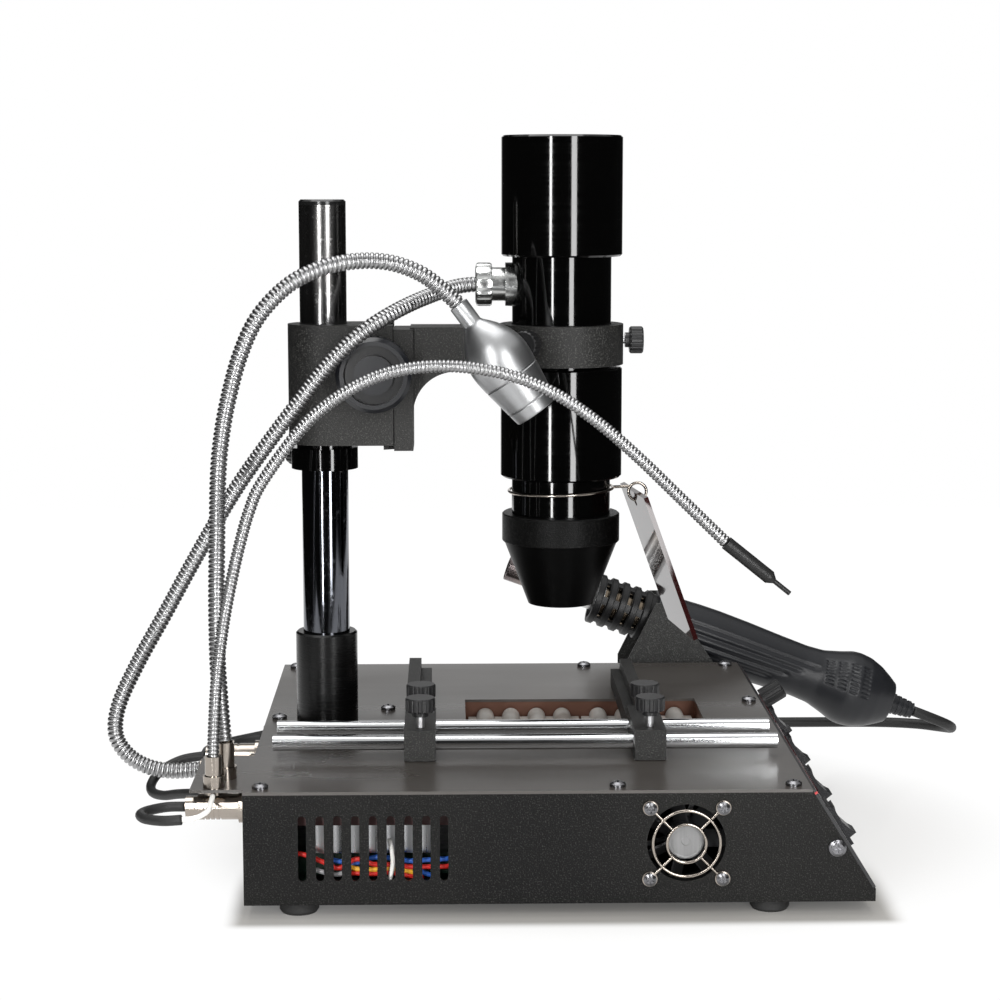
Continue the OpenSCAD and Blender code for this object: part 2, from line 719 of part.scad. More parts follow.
module gun_holder() {
  y0 = gun_tip[1] - cradle_y - holder_sheet;
  y1 = gun_tip[1] + cradle_y;
  color(black_paint) stand() difference() {
    union() {
      translate([holder_rear + 4.5, base_width, holder_low])
        cube([holder_front - holder_rear - 12.5, holder_sheet, cradle_floor - holder_low + holder_sheet]);
      translate([holder_rear, base_width, cradle_floor])
        cube([holder_front - holder_rear, y1 + holder_sheet - base_width, holder_sheet]);
      for (y = [y0, y1])
        translate([0, y + holder_sheet, 0]) rotate([90, 0, 0]) linear_extrude(holder_sheet)
          polygon([[holder_rear, cradle_floor], [holder_front, cradle_floor],
            [holder_front, holder_shoulder], [holder_front - 28, holder_peak],
            [holder_rear + 20, holder_peak], [holder_rear, holder_shoulder]]);
      intersection() {
        on_gun() translate([-8, -cradle_y - 0.5, 107]) cube([80, 2 * cradle_y + 1, 2.5]);
        translate([holder_rear - 7.5, y0, cradle_floor + 0.5])
          cube([holder_front - holder_rear + 11.5, y1 - y0 + holder_sheet, 80]);
      }
    }
    on_gun() translate([0, 0, 90]) cylinder(r = 18.3, h = 30);
    on_gun() translate([-40, -18.3, 100]) cube([40, 36.6, 20]);
    for (x = holder_screws)
      along_y(x, base_width - 1, base_width + 4, holder_screw_z, 1.7);
  }
}

module neck_ferrule(foot, r, ball) {
  translate([foot[0], foot[1], 0]) difference() {
    union() {
      translate([0, 0, base_height]) cylinder(r = r, h = foot[2] - base_height);
      translate([0, 0, base_height]) cylinder(r = r + 1, h = 6);
      translate([0, 0, plate_under - 2]) cylinder(r = 2.1, h = 4);
      translate([0, 0, plate_under - 1.8]) cylinder(r = 5, h = 1.8, $fn = 6);
    }
    translate([0, 0, foot[2]]) sphere(r = ball + side_gap);
  }
}

module neck_ferrules() {
  color(steel) stand() {
    neck_ferrule(lamp_foot, 5.2, lamp_neck_diameter / 2);
    neck_ferrule(probe_foot, 4.2, probe_neck_diameter / 2);
  }
}

module cable_plug(p, bore) {
  difference() {
    union() {
      along_x(plug_end + 6, -3.2, p[0], p[1], 6.4);
      along_x(plug_end, plug_end + 6.5, p[0], p[1], 5.2);
    }
    for (x = [-20, -17.5, -15, -12.5])
      translate([x, p[0], p[1]]) rotate([0, 90, 0]) difference() {
        cylinder(r = 8, h = 1);
        translate([0, 0, -1]) cylinder(r = 5.9, h = 3);
      }
  }
}

module cable_plugs() {
  color(steel) stand() {
    cable_plug(near_plug);
    cable_plug(hose_plug);
    cable_plug(far_plug);
  }
}

module head_hose() {
  color(steel) stand() tube_along(hose_route, hose_diameter, 2, 10);
}

module probe_lead() {
  color(rubber) stand() tube_along(probe_lead_route, lead_diameter, 2, 10);
}

module probe_wire() {
  color(ceramic) stand() tube_along(probe_wire_route, 2.6, 2, 8);
}

module lamp_lead() {
  color(rubber) stand() tube_along(lamp_lead_route, lead_diameter, 2, 10);
}

module gun_cord() {
  color(rubber) stand() {
    tube_along(cord_to_coil, gun_cord_diameter, 3, 10);
    tube_along(cord_from_coil, gun_cord_diameter, 3, 10);
  }
}

module cord_coil() {
  d = gun_cord_diameter;
  color(rubber) stand() translate([coil_at[0], coil_at[1], cord_z - d / 2]) rotate_extrude()
    translate([coil_radius - 1.5 * d, 0]) polygon([[d / 3, 0], [d * 8 / 3, 0], [3 * d, d / 3],
      [3 * d, d * 2 / 3], [d * 8 / 3, d], [d / 3, d], [0, d * 2 / 3], [0, d / 3]]);
}

module board_rods() {
  color(steel) stand() for (y = [rod_near, rod_far]) along_x(10, 268, y, rod_z, rod_diameter / 2);
}

module jaw(x0, x1, arm0, arm1, ledge0, ledge1, y1, screw_x) {
  color(black_paint) stand() difference() {
    union() {
      translate([x0, jaw_near, jaw_bottom]) cube([x1 - x0, jaw_far - jaw_near, jaw_top - jaw_bottom]);
      translate([arm0, arm_start, jaw_bottom]) cube([arm1 - arm0, y1 - arm_start, jaw_top - jaw_bottom]);
    }
    translate([ledge0, ledge_start, jaw_top - ledge_drop]) cube([ledge1 - ledge0, y1, 20]);
    for (y = [rod_near, rod_far]) {
      along_x(x0 - 5, x1 + 5, y, rod_z, rod_diameter / 2 + running_gap);
      translate([screw_x, y, rod_z]) cylinder(r = 2 + running_gap, h = 20);
    }
  }
}

module left_jaw() {
  x0 = left_x - 8.3;
  jaw(x0, x0 + jaw_width, x0, x0 + 13, x0 + 7, x0 + 18, left_reach, left_x);
}

module right_jaw() {
  x0 = right_x - 8.3;
  jaw(x0, x0 + jaw_width, x0, x0 + 11.7, x0 - 4.3, x0 + 5.2, right_reach, right_x);
}

module thumb_head(d, h) {
  difference() {
    union() {
      cylinder(d1 = d - 1.2, d2 = d, h = 0.8);
      translate([0, 0, 0.8]) cylinder(d = d, h = h - 1.6);
      translate([0, 0, h - 0.8]) cylinder(d1 = d, d2 = d - 1.2, h = 0.8);
    }
    for (a = [0:20:340])
      rotate([0, 0, a]) translate([d / 2 + 0.35, 0, -1]) cylinder(r = 0.8, h = h + 2, $fn = 8);
  }
}

module jaw_screw(x, y) {
  color(black_plastic) stand() translate([x, y, 0]) {
    translate([0, 0, rod_z + rod_diameter / 2 + 0.4]) cylinder(r = 2, h = 12);
    translate([0, 0, jaw_top + 5.9]) cylinder(r = 4.2, h = 2.6);
    translate([0, 0, jaw_top + 8.3]) thumb_head(jaw_screw_head, 7.2);
  }
}

module left_near_screw() { jaw_screw(left_x, rod_near); }
module left_far_screw() { jaw_screw(left_x, rod_far); }
module right_near_screw() { jaw_screw(right_x, rod_near); }
module right_far_screw() { jaw_screw(right_x, rod_far); }

module stop_collar() {
  color(black_paint) stand() translate([column_x, column_y, collar_z]) difference() {
    union() {
      cylinder(d = collar_diameter, h = collar_height);
      cylinder(d = collar_diameter - 6, h = carriage_z - collar_z - side_gap);
    }
    translate([0, 0, -1]) cylinder(d = column_diameter + 2 * running_gap, h = 40);
    rotate([0, 0, collar_angle]) along_x(0, 40, 0, collar_height / 2, 2 + running_gap);
  }
}

module collar_knob() {
  color(black_plastic) stand() translate([column_x, column_y, collar_z + collar_height / 2])
    rotate([0, 0, collar_angle]) rotate([0, 90, 0]) {
      translate([0, 0, column_diameter / 2 + 0.6]) cylinder(r = 2, h = 12);
      translate([0, 0, 19]) cylinder(r = 4.2, h = 3.5);
      translate([0, 0, 22]) thumb_head(15, 9);
    }
}

module carriage() {
  slot = [[65, -12], [carriage_front, -9], [carriage_front + 3, -9], [carriage_front + 3, 9],
    [carriage_front, 9], [65, 12]];
  color(black_paint) stand() difference() {
    union() {
      translate([column_x, column_y, carriage_z]) cylinder(r = carriage_radius, h = carriage_height);
      translate([column_x, column_y - carriage_radius, carriage_z])
        cube([carriage_front - column_x, 2 * carriage_radius, carriage_height]);
    }
    translate([column_x, column_y, carriage_z - 1])
      cylinder(d = column_diameter + 2 * running_gap, h = carriage_height + 2);
    translate([0, column_y, carriage_z - 1]) linear_extrude(carriage_height + 2) polygon(slot);
    along_y(pinion_x, column_y - 30, column_y + 30, pinion_z, 3 + running_gap);
    along_y(pinion_x, column_y - 6, column_y + 6, pinion_z, pitch_radius + 1.4);
    translate([carriage_front, column_y - 30, carriage_z + carriage_height])
      rotate([0, 45, 0]) cube([4, 60, 4], center = false);
    for (y = [column_y - 14.5, column_y + 14.5])
      along_x(40, 80, y, carriage_z + 12, 1.7);
  }
}

module pinion() {
  root = pitch_radius - pinion_root;
  tip = pitch_radius + pinion_tip;
  radii = [root, base_radius, pitch_radius - 0.1, pitch_radius + 0.25, tip];
  step = 360 / pinion_teeth;
  // At rest a gap, not a tooth, points along the axis from which angles count.
  linear_extrude(10) polygon([for (i = [0:pinion_teeth - 1]) each concat(
    [for (r = radii) r * [cos((i + 0.5) * step + flank(r, -1)), sin((i + 0.5) * step + flank(r, -1))]],
    [for (k = [4:-1:0]) let (r = radii[k])
      r * [cos((i + 0.5) * step + flank(r, 1)), sin((i + 0.5) * step + flank(r, 1))]])]);
}

module focus_knob() {
  difference() {
    union() {
      cylinder(r = 10, h = 3);
      translate([0, 0, 2.5]) cylinder(d1 = focus_knob_diameter - 2, d2 = focus_knob_diameter, h = 1);
      translate([0, 0, 3.5]) cylinder(d = focus_knob_diameter, h = 13);
      translate([0, 0, 16.5]) cylinder(d1 = focus_knob_diameter, d2 = focus_knob_diameter - 4, h = 2);
    }
    translate([0, 0, 16]) difference() {
      cylinder(r = 15.5, h = 5);
      translate([0, 0, -1]) cylinder(r = 10.5, h = 8);
    }
    for (a = [0:12:348])
      rotate([0, 0, a]) translate([focus_knob_diameter / 2 + 0.6, 0, 4.5])
        cylinder(r = 1.2, h = 11, $fn = 16);
    translate([0, 0, -1]) cylinder(r = 3.05, h = 12);
  }
}

module focus_knobs() {
  reach = carriage_radius + side_gap;
  color(black_plastic) stand() translate([pinion_x, column_y, pinion_z]) {
    rotate([90, 0, 0]) translate([0, 0, reach]) focus_knob();
    rotate([-90, 0, 0]) translate([0, 0, reach]) focus_knob();
    rotate([-90, 0, 0]) translate([0, 0, -reach - 10.5]) cylinder(r = 3, h = 2 * reach + 21);
    rotate([90, 0, 0]) translate([0, 0, -5]) pinion();
  }
}

module rack_gaps() {
  tip = rack_x - rack_tip - 0.5;
  root = rack_x + rack_root;
  half = tooth_pitch * (1 - tooth_share) / 2;
  rotate([90, 0, 0]) linear_extrude(40, center = true) for (k = [-16:9])
    translate([0, pinion_z + (k + 0.5) * tooth_pitch])
      polygon([[tip, -half - (rack_tip + 0.5) * tan(20)], [root, -half + rack_root * tan(20)],
        [root, half - rack_root * tan(20)], [tip, half + (rack_tip + 0.5) * tan(20)]]);
}

module head_arm() {
  tongue = [[rack_x - rack_tip, -11.5], [carriage_front + side_gap, -8.65],
    [carriage_front + side_gap + 2, -8.65], [carriage_front + side_gap + 2, 8.65],
    [carriage_front + side_gap, 8.65], [rack_x - rack_tip, 11.5]];
  plate_x0 = carriage_front + side_gap;
  color(black_paint) stand() translate([0, column_y, 0]) difference() {
    union() {
      translate([plate_x0, -17, 206.8]) cube([81.5 - plate_x0, 34, 64.2]);
      difference() {
        translate([0, 0, 206.8]) linear_extrude(64.2) polygon(tongue);
        rack_gaps();
      }
      rotate([90, 0, 0]) linear_extrude(28, center = true) difference() {
        polygon([[80, 226], [104, 226], [104, 249], [121, ring_low + 0.3], [140, ring_low + 0.3],
          [140, 272], [80, 272]]);
        translate([104, 226]) circle(r = 22.5);
        translate([103, 224]) square([5, 24.9]);
      }
      translate([head_x, 0, ring_low]) cylinder(d = ring_diameter, h = ring_high - ring_low);
    }
    translate([head_x, 0, 200]) cylinder(d = tube_diameter + 2 * running_gap, h = 90);
    for (a = [0, 120, 240])
      translate([head_x, 0, 0]) rotate([0, 0, a]) along_x(20, 40, 0, screw_z, 2 + running_gap);
  }
}

module ring_screw(a) {
  color(black_plastic) stand() translate([head_x, column_y, screw_z]) rotate([0, 0, a])
    rotate([0, 90, 0]) {
      translate([0, 0, tube_diameter / 2 + 0.5]) cylinder(r = 2, h = 10);
      translate([0, 0, ring_diameter / 2 + 1]) cylinder(r = 4, h = 2.6);
      translate([0, 0, ring_diameter / 2 + 3.4]) thumb_head(14.5, 7.2);
    }
}

module ring_screw_1() { ring_screw(0); }
module ring_screw_2() { ring_screw(120); }
module ring_screw_3() { ring_screw(240); }

module head_tube() {
  color(black_plastic) stand() translate([head_x, column_y, 0]) difference() {
    translate([0, 0, tube_low]) cylinder(d = tube_diameter, h = tube_top - tube_low);
    translate([0, 0, tube_low - 1])
      cylinder(d = tube_diameter - 2 * tube_wall, h = tube_top - tube_low + 2);
    along_x(-40, 0, 0, gland_z, 6.2);
  }
}

module sleeve(d, z0, z1) {
  difference() {
    union() {
      translate([0, 0, z0]) cylinder(d1 = d - 2, d2 = d, h = 1);
      translate([0, 0, z0 + 1]) cylinder(d = d, h = z1 - z0 - 2);
      translate([0, 0, z1 - 1]) cylinder(d1 = d, d2 = d - 2, h = 1);
    }
    translate([0, 0, z0 - 1]) cylinder(d = tube_diameter + 0.1, h = z1 - z0 + 2);
  }
}

module head_sleeves() {
  color(black_plastic) stand() translate([head_x, column_y, 0]) {
    sleeve(upper_sleeve, upper_low, upper_top);
    sleeve(lower_sleeve, lower_low, lower_top);
    difference() {
      translate([0, 0, vent_z]) cylinder(d = tube_diameter - 2 * tube_wall - 0.1, h = 2);
      for (r = [8, 15]) for (a = [0:45:315])
        rotate([0, 0, a]) translate([r, 0, vent_z - 2]) cylinder(r = 1.8, h = 6);
    }
  }
}

module head_nozzle() {
  tube_r = tube_diameter / 2 + 0.05;
  color(black_plastic) stand() translate([head_x, column_y, 0]) rotate_extrude()
    polygon([[tube_r, skirt_top], [skirt_radius - 0.65, skirt_top], [skirt_radius, skirt_top - 0.6],
      [skirt_radius, skirt_low + 0.6], [skirt_radius - 0.55, skirt_low], [skirt_radius - 1.15, skirt_low],
      [nozzle_mouth, mouth_z], [nozzle_mouth - 1.8, mouth_z],
      [tube_diameter / 2 - tube_wall - 0.5, tube_low - 10],
      [tube_diameter / 2 - tube_wall - 0.1, tube_low], [tube_r, tube_low]]);
}

module ir_lamp() {
  color(ceramic) stand() translate([head_x, column_y, 0]) rotate_extrude()
    polygon([[0, 176], [9, 177], [14.5, 182], [16, 190], [13.5, 200], [9, 210], [9, 228],
      [tube_diameter / 2 - tube_wall - 0.1, 228], [tube_diameter / 2 - tube_wall - 0.1, 231],
      [12, 231], [12, 262], [0, 262]]);
}

module head_gland() {
  bore = hose_diameter / 2 + 0.45;
  color(steel) stand() translate([0, column_y, gland_z]) difference() {
    union() {
      translate([gland_face - 18.7, 0, 0]) rotate([0, 90, 0]) cylinder(r = 11, h = 8, $fn = 6);
      along_x(gland_face - 11.1, gland_face - 3.1, 0, 0, 9);
      difference() {
        along_x(gland_face - 3.6, gland_face + 3.9, 0, 0, 11.6);
        translate([head_x, 0, -20]) cylinder(d = tube_diameter + 0.1, h = 40);
      }
      along_x(gland_face - 1.1, gland_face + 4.4, 0, 0, 6);
    }
    along_x(gland_face - 24, gland_face - 12.1, 0, 0, bore);
    along_x(gland_face - 24, gland_face + 6, 0, 0, 3.2);
  }
}

module shield_wire() {
  color(steel) stand() translate([head_x, column_y, 0]) {
    translate([0, 0, wire_z]) rotate([0, -2, 0]) rotate_extrude() translate([wire_ring, 0])
      circle(r = 0.8, $fn = 24);
    translate([0, 0, wire_z]) rotate([0, -2, 0]) along_x(wire_ring, wire_ring + 9, 0, 0, 0.8);
    translate([wire_eye, 0, wire_z - 1.6]) rotate([90, 0, 0]) rotate_extrude() translate([4.8, 0])
      circle(r = 0.8, $fn = 24);
  }
}

module shield_plate() {
  color(red_plastic) stand() translate([head_x + wire_eye, column_y, wire_z - 6.4])
    rotate([0, 0, 7.6]) rotate([0, -20, 0]) difference() {
      translate([-shield_thickness / 2, -30, -76]) cube([shield_thickness, 60, 82]);
      along_x(-10, 10, 0, 0, 2.7);
    }
}

module lamp_neck() {
  color(steel) stand() neck_along(lamp_route, lamp_neck_diameter, 2, 10);
}

module lamp_shell() {
  color(aluminium) stand() translate(lamp_end) rotate([0, lamp_lean, 0]) {
    rotate_extrude() polygon([[0, 0.3], [5, 0.3], [5, 12], [7, 15], [11, 20], [14, 25.5],
      [15.6, 31], [16, 36], [15.4, 43], [14.2, 51], [12.8, 60], [11.6, 67], [10.4, 67],
      [10.4, 61], [0, 61]]);
    translate([0, 0, 61.2]) cylinder(r = 10.2, h = 3);
  }
}

module probe_neck() {
  color(steel) stand() neck_along(probe_route, probe_neck_diameter, 2, 10);
}

module probe_tip() {
  color(black_plastic) stand() translate(probe_route[len(probe_route) - 1])
    rotate([0, probe_lean, 0]) {
      translate([0, 0, 0.3]) cylinder(r = 3.4, h = 27);
      translate([0, 0, 27.2]) cylinder(r1 = 3.4, r2 = 1.4, h = 3);
      translate([0, 0, 30]) cylinder(r = 1.2, h = 10);
    }
}

module gun_shell() {
  color(black_plastic) stand() on_gun() {
    rotate_extrude() polygon([[14.6, 95], [19.4, 95], [20, 95.6], [20, 104.4], [19.4, 105],
      [17.8, 106], [17.8, 112], [18.3, 122], [18.5, 135], [18, 155], [17, 178], [16.5, 195],
      [17.3, 206], [20.5, 217], [23, 224], [23.5, 229], [22.8, 236], [20, 244], [16, 251],
      [13, 255.5], [0, 255.5], [0, 252], [11, 252], [18, 240], [20.5, 229], [18, 220],
      [14, 204], [13.6, 195], [14.6, 135], [14.6, 112]]);
    difference() {
      union() {
        translate([0, 0, 255.6]) cylinder(r1 = 7, r2 = 5, h = 16);
        for (i = [0:3])
          translate([0, 0, 257.5 + i * 3.4]) cylinder(r = 6.6 - i * 0.4, h = 1.8);
      }
      translate([0, 0, 258]) cylinder(r = 3.2, h = 20);
    }
  }
}

module gun_barrel() {
  color(steel) stand() on_gun() {
    difference() {
      union() {
        cylinder(r = gun_nozzle_radius, h = 60);
        translate([0, 0, 60]) cylinder(r = gun_nozzle_radius + 4, h = 2);
      }
      translate([0, 0, -1]) cylinder(r = gun_nozzle_radius - 1.2, h = 70);
    }
    difference() {
      union() {
        translate([0, 0, 57]) cylinder(r = gun_guard_radius - 1, h = 37.8);
        for (i = [0:4])
          translate([0, 0, 57 + i * 7.6]) cylinder(r = gun_guard_radius, h = 4);
        translate([0, 0, 94]) cylinder(r = 14.4, h = 17);
      }
      translate([0, 0, 50]) cylinder(r = gun_nozzle_radius + 0.1, h = 20);
      translate([0, 0, 59.5]) cylinder(r = 12.8, h = 60);
      for (a = [0:60:300])
        rotate([0, 0, a]) translate([8, -1.6, 63]) cube([14, 3.2, 26]);
    }
  }
}

bottom_tray();
top_cover();
control_panel();
rubber_feet();
chassis_screws();
fan_frame();
fan_guard();
fan_rotor();
heater_tray();
heater_plates();
control_board();
wire_harness();
column_socket();
column();
switch_bezels();
display_windows();
mains_inlet();
rear_sockets();
gun_holder();
neck_ferrules();
cable_plugs();
head_hose();
probe_lead();
probe_wire();
lamp_lead();
gun_cord();
cord_coil();
rocker_1();
rocker_2();
rocker_3();
rocker_4();
airflow_knob();
board_rods();
left_jaw();
right_jaw();
left_near_screw();
left_far_screw();
right_near_screw();
right_far_screw();
stop_collar();
collar_knob();
carriage();
focus_knobs();
head_arm();
ring_screw_1();
ring_screw_2();
ring_screw_3();
head_tube();
head_sleeves();
head_nozzle();
ir_lamp();
head_gland();
shield_wire();
shield_plate();
lamp_neck();
lamp_shell();
probe_neck();
probe_tip();
gun_shell();
gun_barrel();
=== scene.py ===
# %% [markdown]
# # A bench rework station, dressed on its CAD frame
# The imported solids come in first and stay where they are. Everything after that either
# paints a solid or lays a finer piece over it. All lengths are in metres, in the frame
# of the part: +X runs to the sloped panel, +Y away from the photograph's camera, +Z up.

# %% Load the frame
import math
import bpy
import numpy as np
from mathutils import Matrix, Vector


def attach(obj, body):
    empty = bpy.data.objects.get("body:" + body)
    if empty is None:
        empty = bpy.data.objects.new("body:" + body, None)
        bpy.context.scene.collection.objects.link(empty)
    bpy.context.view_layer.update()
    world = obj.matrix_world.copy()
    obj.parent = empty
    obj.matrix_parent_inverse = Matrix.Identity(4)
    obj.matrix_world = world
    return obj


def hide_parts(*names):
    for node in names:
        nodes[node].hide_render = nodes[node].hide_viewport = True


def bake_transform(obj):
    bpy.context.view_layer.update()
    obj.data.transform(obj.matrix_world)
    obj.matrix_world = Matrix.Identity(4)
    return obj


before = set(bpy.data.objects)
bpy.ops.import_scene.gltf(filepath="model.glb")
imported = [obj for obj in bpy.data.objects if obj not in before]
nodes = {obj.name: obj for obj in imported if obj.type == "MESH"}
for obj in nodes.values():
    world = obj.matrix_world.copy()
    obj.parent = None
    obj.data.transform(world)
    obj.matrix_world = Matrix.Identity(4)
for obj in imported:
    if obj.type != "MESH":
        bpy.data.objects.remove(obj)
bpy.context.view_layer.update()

# %% [markdown]
# ## One ruler for the whole station
# The base was drawn in millimetres from the outside of its rear wall, the outside of its
# near wall and the underside of its tray. Keeping that ruler here means that a cord's
# route can be read off the drawing, so one small function turns it into the part's frame.

# %% The drawing's ruler
REAR, NEAR, FOOT = -183.8, -172.3, 7.0


def at(x, y, z):
    return Vector(((x + REAR) / 1000, (y + NEAR) / 1000, (z + FOOT) / 1000))


print("rear near corner of the base", tuple(round(c, 4) for c in at(0, 0, 0)))

# %% [markdown]
# ## The camera
# The photograph was taken with a long lens from a little above the head, almost square to
# the side with the fan. Its place was worked out from the edges of the base and the column.
# No lens shift is used, so that the views from other sides stay centred.

# %% Camera
FOCAL_LENGTH, SENSOR = 80.93, 36.0  # millimetres
DOWN, RIGHT = 0.1412, 0.0234  # radians from level and from square
lens = bpy.data.cameras.new("photo_camera")
lens.lens, lens.sensor_width = FOCAL_LENGTH, SENSOR
lens.clip_start, lens.clip_end = 0.05, 60.0
camera = bpy.data.objects.new("photo_camera", lens)
bpy.context.scene.collection.objects.link(camera)
camera.location = at(99.69, -1055.5, 348.69)
camera.rotation_euler = (math.pi / 2 - DOWN, 0.0, -RIGHT)
bpy.context.scene.camera = camera
print("camera at", tuple(round(c, 3) for c in camera.location))

# %% [markdown]
# ## Tubes along a route
# Hoses, necks and wires are all tubes that follow a handful of chosen points. A curve object
# with a round bevel would do for a plain wire, but the metal hoses need real ridges, so the
# tube is built ring by ring: a Catmull-Rom curve through the points, cut into even steps,
# and a frame that is carried along it without twisting. The radius may depend on the
# distance along the tube. Tubes and turned pieces get their faces from one function: quads
# from ring to ring.

# %% Tube builder
SPAN_CUTS = 40
GROOVE_SHARE = 0.17  # half the width of a groove, as a share of the pitch


def smooth_route(points, step):
    p = np.array([list(q) for q in points], float)
    p = np.vstack([p[:1], p, p[-1:]])
    t = np.linspace(0, 1, SPAN_CUTS, endpoint=False)[:, None]
    runs = []
    for a, b, c, d in zip(p[:-3], p[1:-2], p[2:-1], p[3:]):
        runs.append(0.5 * (2 * b + (c - a) * t + (2 * a - 5 * b + 4 * c - d) * t ** 2
                           + (3 * b - a - 3 * c + d) * t ** 3))
    line = np.vstack(runs + [p[-1:]])
    along = np.concatenate([[0], np.cumsum(np.linalg.norm(np.diff(line, axis=0), axis=1))])
    even = np.linspace(0, along[-1], max(2, int(round(along[-1] / step)) + 1))
    return np.stack([np.interp(even, along, line[:, k]) for k in range(3)], 1), even


def carried_frames(line):
    heading = np.gradient(line, axis=0)
    heading /= np.linalg.norm(heading, axis=1)[:, None]
    start = np.cross(heading[0], [1.0, 0, 0] if abs(heading[0][1]) > 0.9 else [0, 1.0, 0])
    sides = [start / np.linalg.norm(start)]
    for h in heading[1:]:
        s = sides[-1] - np.dot(sides[-1], h) * h
        sides.append(s / np.linalg.norm(s))
    sides = np.array(sides)
    return sides, np.cross(heading, sides)


def mesh_piece(name, verts, faces, smooth=True):
    mesh = bpy.data.meshes.new(name)
    mesh.from_pydata([tuple(v) for v in verts], [], faces)
    mesh.validate()
    if smooth:
        mesh.shade_smooth()
    piece = bpy.data.objects.new(name, mesh)
    bpy.context.scene.collection.objects.link(piece)
    return piece


def ring_faces(rows, sides, capped=True, flipped=False):
    """Quads between rows of points that run round an axis, and a cap on either end."""
    faces = []
    for i in range(rows - 1):
        for j in range(sides):
            a, b = i * sides + j, i * sides + (j + 1) % sides
            faces.append([a, a + sides, b + sides, b] if flipped else [a, b, b + sides, a + sides])
    if capped:
        first, last = list(range(sides)), list(range((rows - 1) * sides, rows * sides))
        faces += [first, last[::-1]] if flipped else [first[::-1], last]
    return faces


def tube(name, points, radius, sides, step, start=0.0, end=None):
    line, along = smooth_route(points, step)
    end = along[-1] if end is None else end
    keep = (along >= start - 1e-9) & (along <= end + 1e-9)
    u, w = carried_frames(line)
    line, along, u, w = line[keep], along[keep], u[keep], w[keep]
    angle = np.linspace(0, 2 * math.pi, sides, endpoint=False)[None, :, None]
    r = radius(along) if callable(radius) else np.full(len(line), radius)
    spokes = np.cos(angle) * u[:, None, :] + np.sin(angle) * w[:, None, :]
    rings = line[:, None, :] + r[:, None, None] * spokes
    return mesh_piece(name, rings.reshape(-1, 3), ring_faces(len(line), sides)), line


def ridged(outer, depth, pitch):
    def radius(along):
        turn = (along / pitch) % 1.0
        return outer - depth * np.exp(-((turn - 0.5) / GROOVE_SHARE) ** 2)
    return radius


# %% [markdown]
# ## The hose to the heater head
# A wound metal hose leaves a plug on the rear wall, loops out, climbs past the focus knob and ends in the
# gland on the head. The head can slide, swing, focus and turn, and the hose is made in four lengths, cut at
# given shares of its length.

# %% Head hose
HOSE_ROUTE = [at(*p) for p in (
    (-29.3, 84, 46), (-45, 85, 45), (-58, 86.5, 47.5), (-68, 88, 54), (-73.5, 90, 64),
    (-71.6, 92, 79), (-61.6, 94, 100.5), (-47, 95.5, 126.5), (-34, 96.5, 150), (-21, 97, 172.5),
    (-8, 97, 193.5), (7, 97, 214.5), (22.6, 97, 235), (38, 97, 254.5), (53, 98.5, 269),
    (66, 103.5, 278), (80, 115, 285), (94, 130, 290), (105, 141, 293), (115, 145, 294),
    (121, 145, 294))]
HOSE_R, HOSE_SIDES, HOSE_STEP = 0.00415, 16, 0.0003
HOSE_WOUND = ridged(HOSE_R, 0.0008, 0.0024)
HOSE_BODIES = ["base", "collar", "carriage_body", "arm", "head"]
HOSE_CUTS = (0.0, 0.45, 0.73, 0.86, 1.0)  # shares of the length
_, hose_along = smooth_route(HOSE_ROUTE, HOSE_STEP)
hose_ends = [hose_along[np.argmin(abs(hose_along - hose_along[-1] * share))] for share in HOSE_CUTS]
hose_pieces = []
for k, (a, b) in enumerate(zip(hose_ends[:-1], hose_ends[1:])):
    piece, line = tube(f"head_hose_{k + 1}", HOSE_ROUTE, HOSE_WOUND, HOSE_SIDES, HOSE_STEP, a, b)
    HOSE_BODIES[k + 1]
    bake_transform(piece)
    b - a
    line[::5].tolist() + [line[-1].tolist()]
    hose_pieces.append(piece)
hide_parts("head_hose")
print("hose length", round(float(hose_along[-1]), 3))

# %% [markdown]
# ## The leads behind the rear wall
# Two black leads leave their plugs in a loop and end under the feet of the necks, and a thin
# white wire takes the probe's signal up. The gun's cord runs along the bench behind
# the station to its gland, with its spare length put away in a flat coil of two turns under a
# tie. They are plain tubes: their sheath is smooth. A loop winds the coil as a spiral that
# moves in by one diameter a turn and climbs over itself at the end.

# %% Leads and gun cord
CORDS = {
    "probe_lead": (0.0025, "rubber", [
        (-29.3, 17, 45), (-38, 16.5, 45), (-46, 10, 45.2), (-49, 0, 46), (-45, -11, 47),
        (-36, -18, 48), (-27, -20, 49)]),
    "probe_wire": (0.0013, "white_wire", [
        (-26.7, -20, 49.1), (-20, -18.5, 49.6), (-15.5, -12, 50.8), (-14.8, -4, 52.3),
        (-14.7, 5.4, 53.4)]),
    "lamp_lead": (0.0025, "rubber", [
        (-29.3, 112, 46), (-42, 111.5, 44), (-52, 105, 40), (-56, 94, 36), (-54, 82, 34.5),
        (-47, 70, 36), (-38, 58, 40), (-29, 46, 43.5), (-20, 35.5, 46), (-13, 29, 48.5),
        (-11.2, 28, 52.7)]),
}
BASE_WIDTH = 290
CORD_D = 6.5
CORD_Z = CORD_D / 2 - FOOT + 0.05
COIL_R, COIL_GAP = 5.54 * CORD_D, 3.2
COIL_X, COIL_Y = 62, BASE_WIDTH + COIL_R + 1.5 * CORD_D + COIL_GAP
COIL_IN, COIL_OUT = COIL_Y + COIL_R + CORD_D, COIL_Y + COIL_R - CORD_D
TURNS, STEPS, CLIMB = 2, 40, 0.22
TO_COIL = [(392.9, 325, 17), (404, 326, 12.5), (416, 332, 6.5), (422, 345, 1),
           (419, 362, CORD_Z + 1.2), (405, 375, CORD_Z + 0.1), (380, COIL_IN - 1, CORD_Z)]
TO_COIL += [(x, COIL_IN, CORD_Z) for x in (330, 270, 200, 140, 82)]
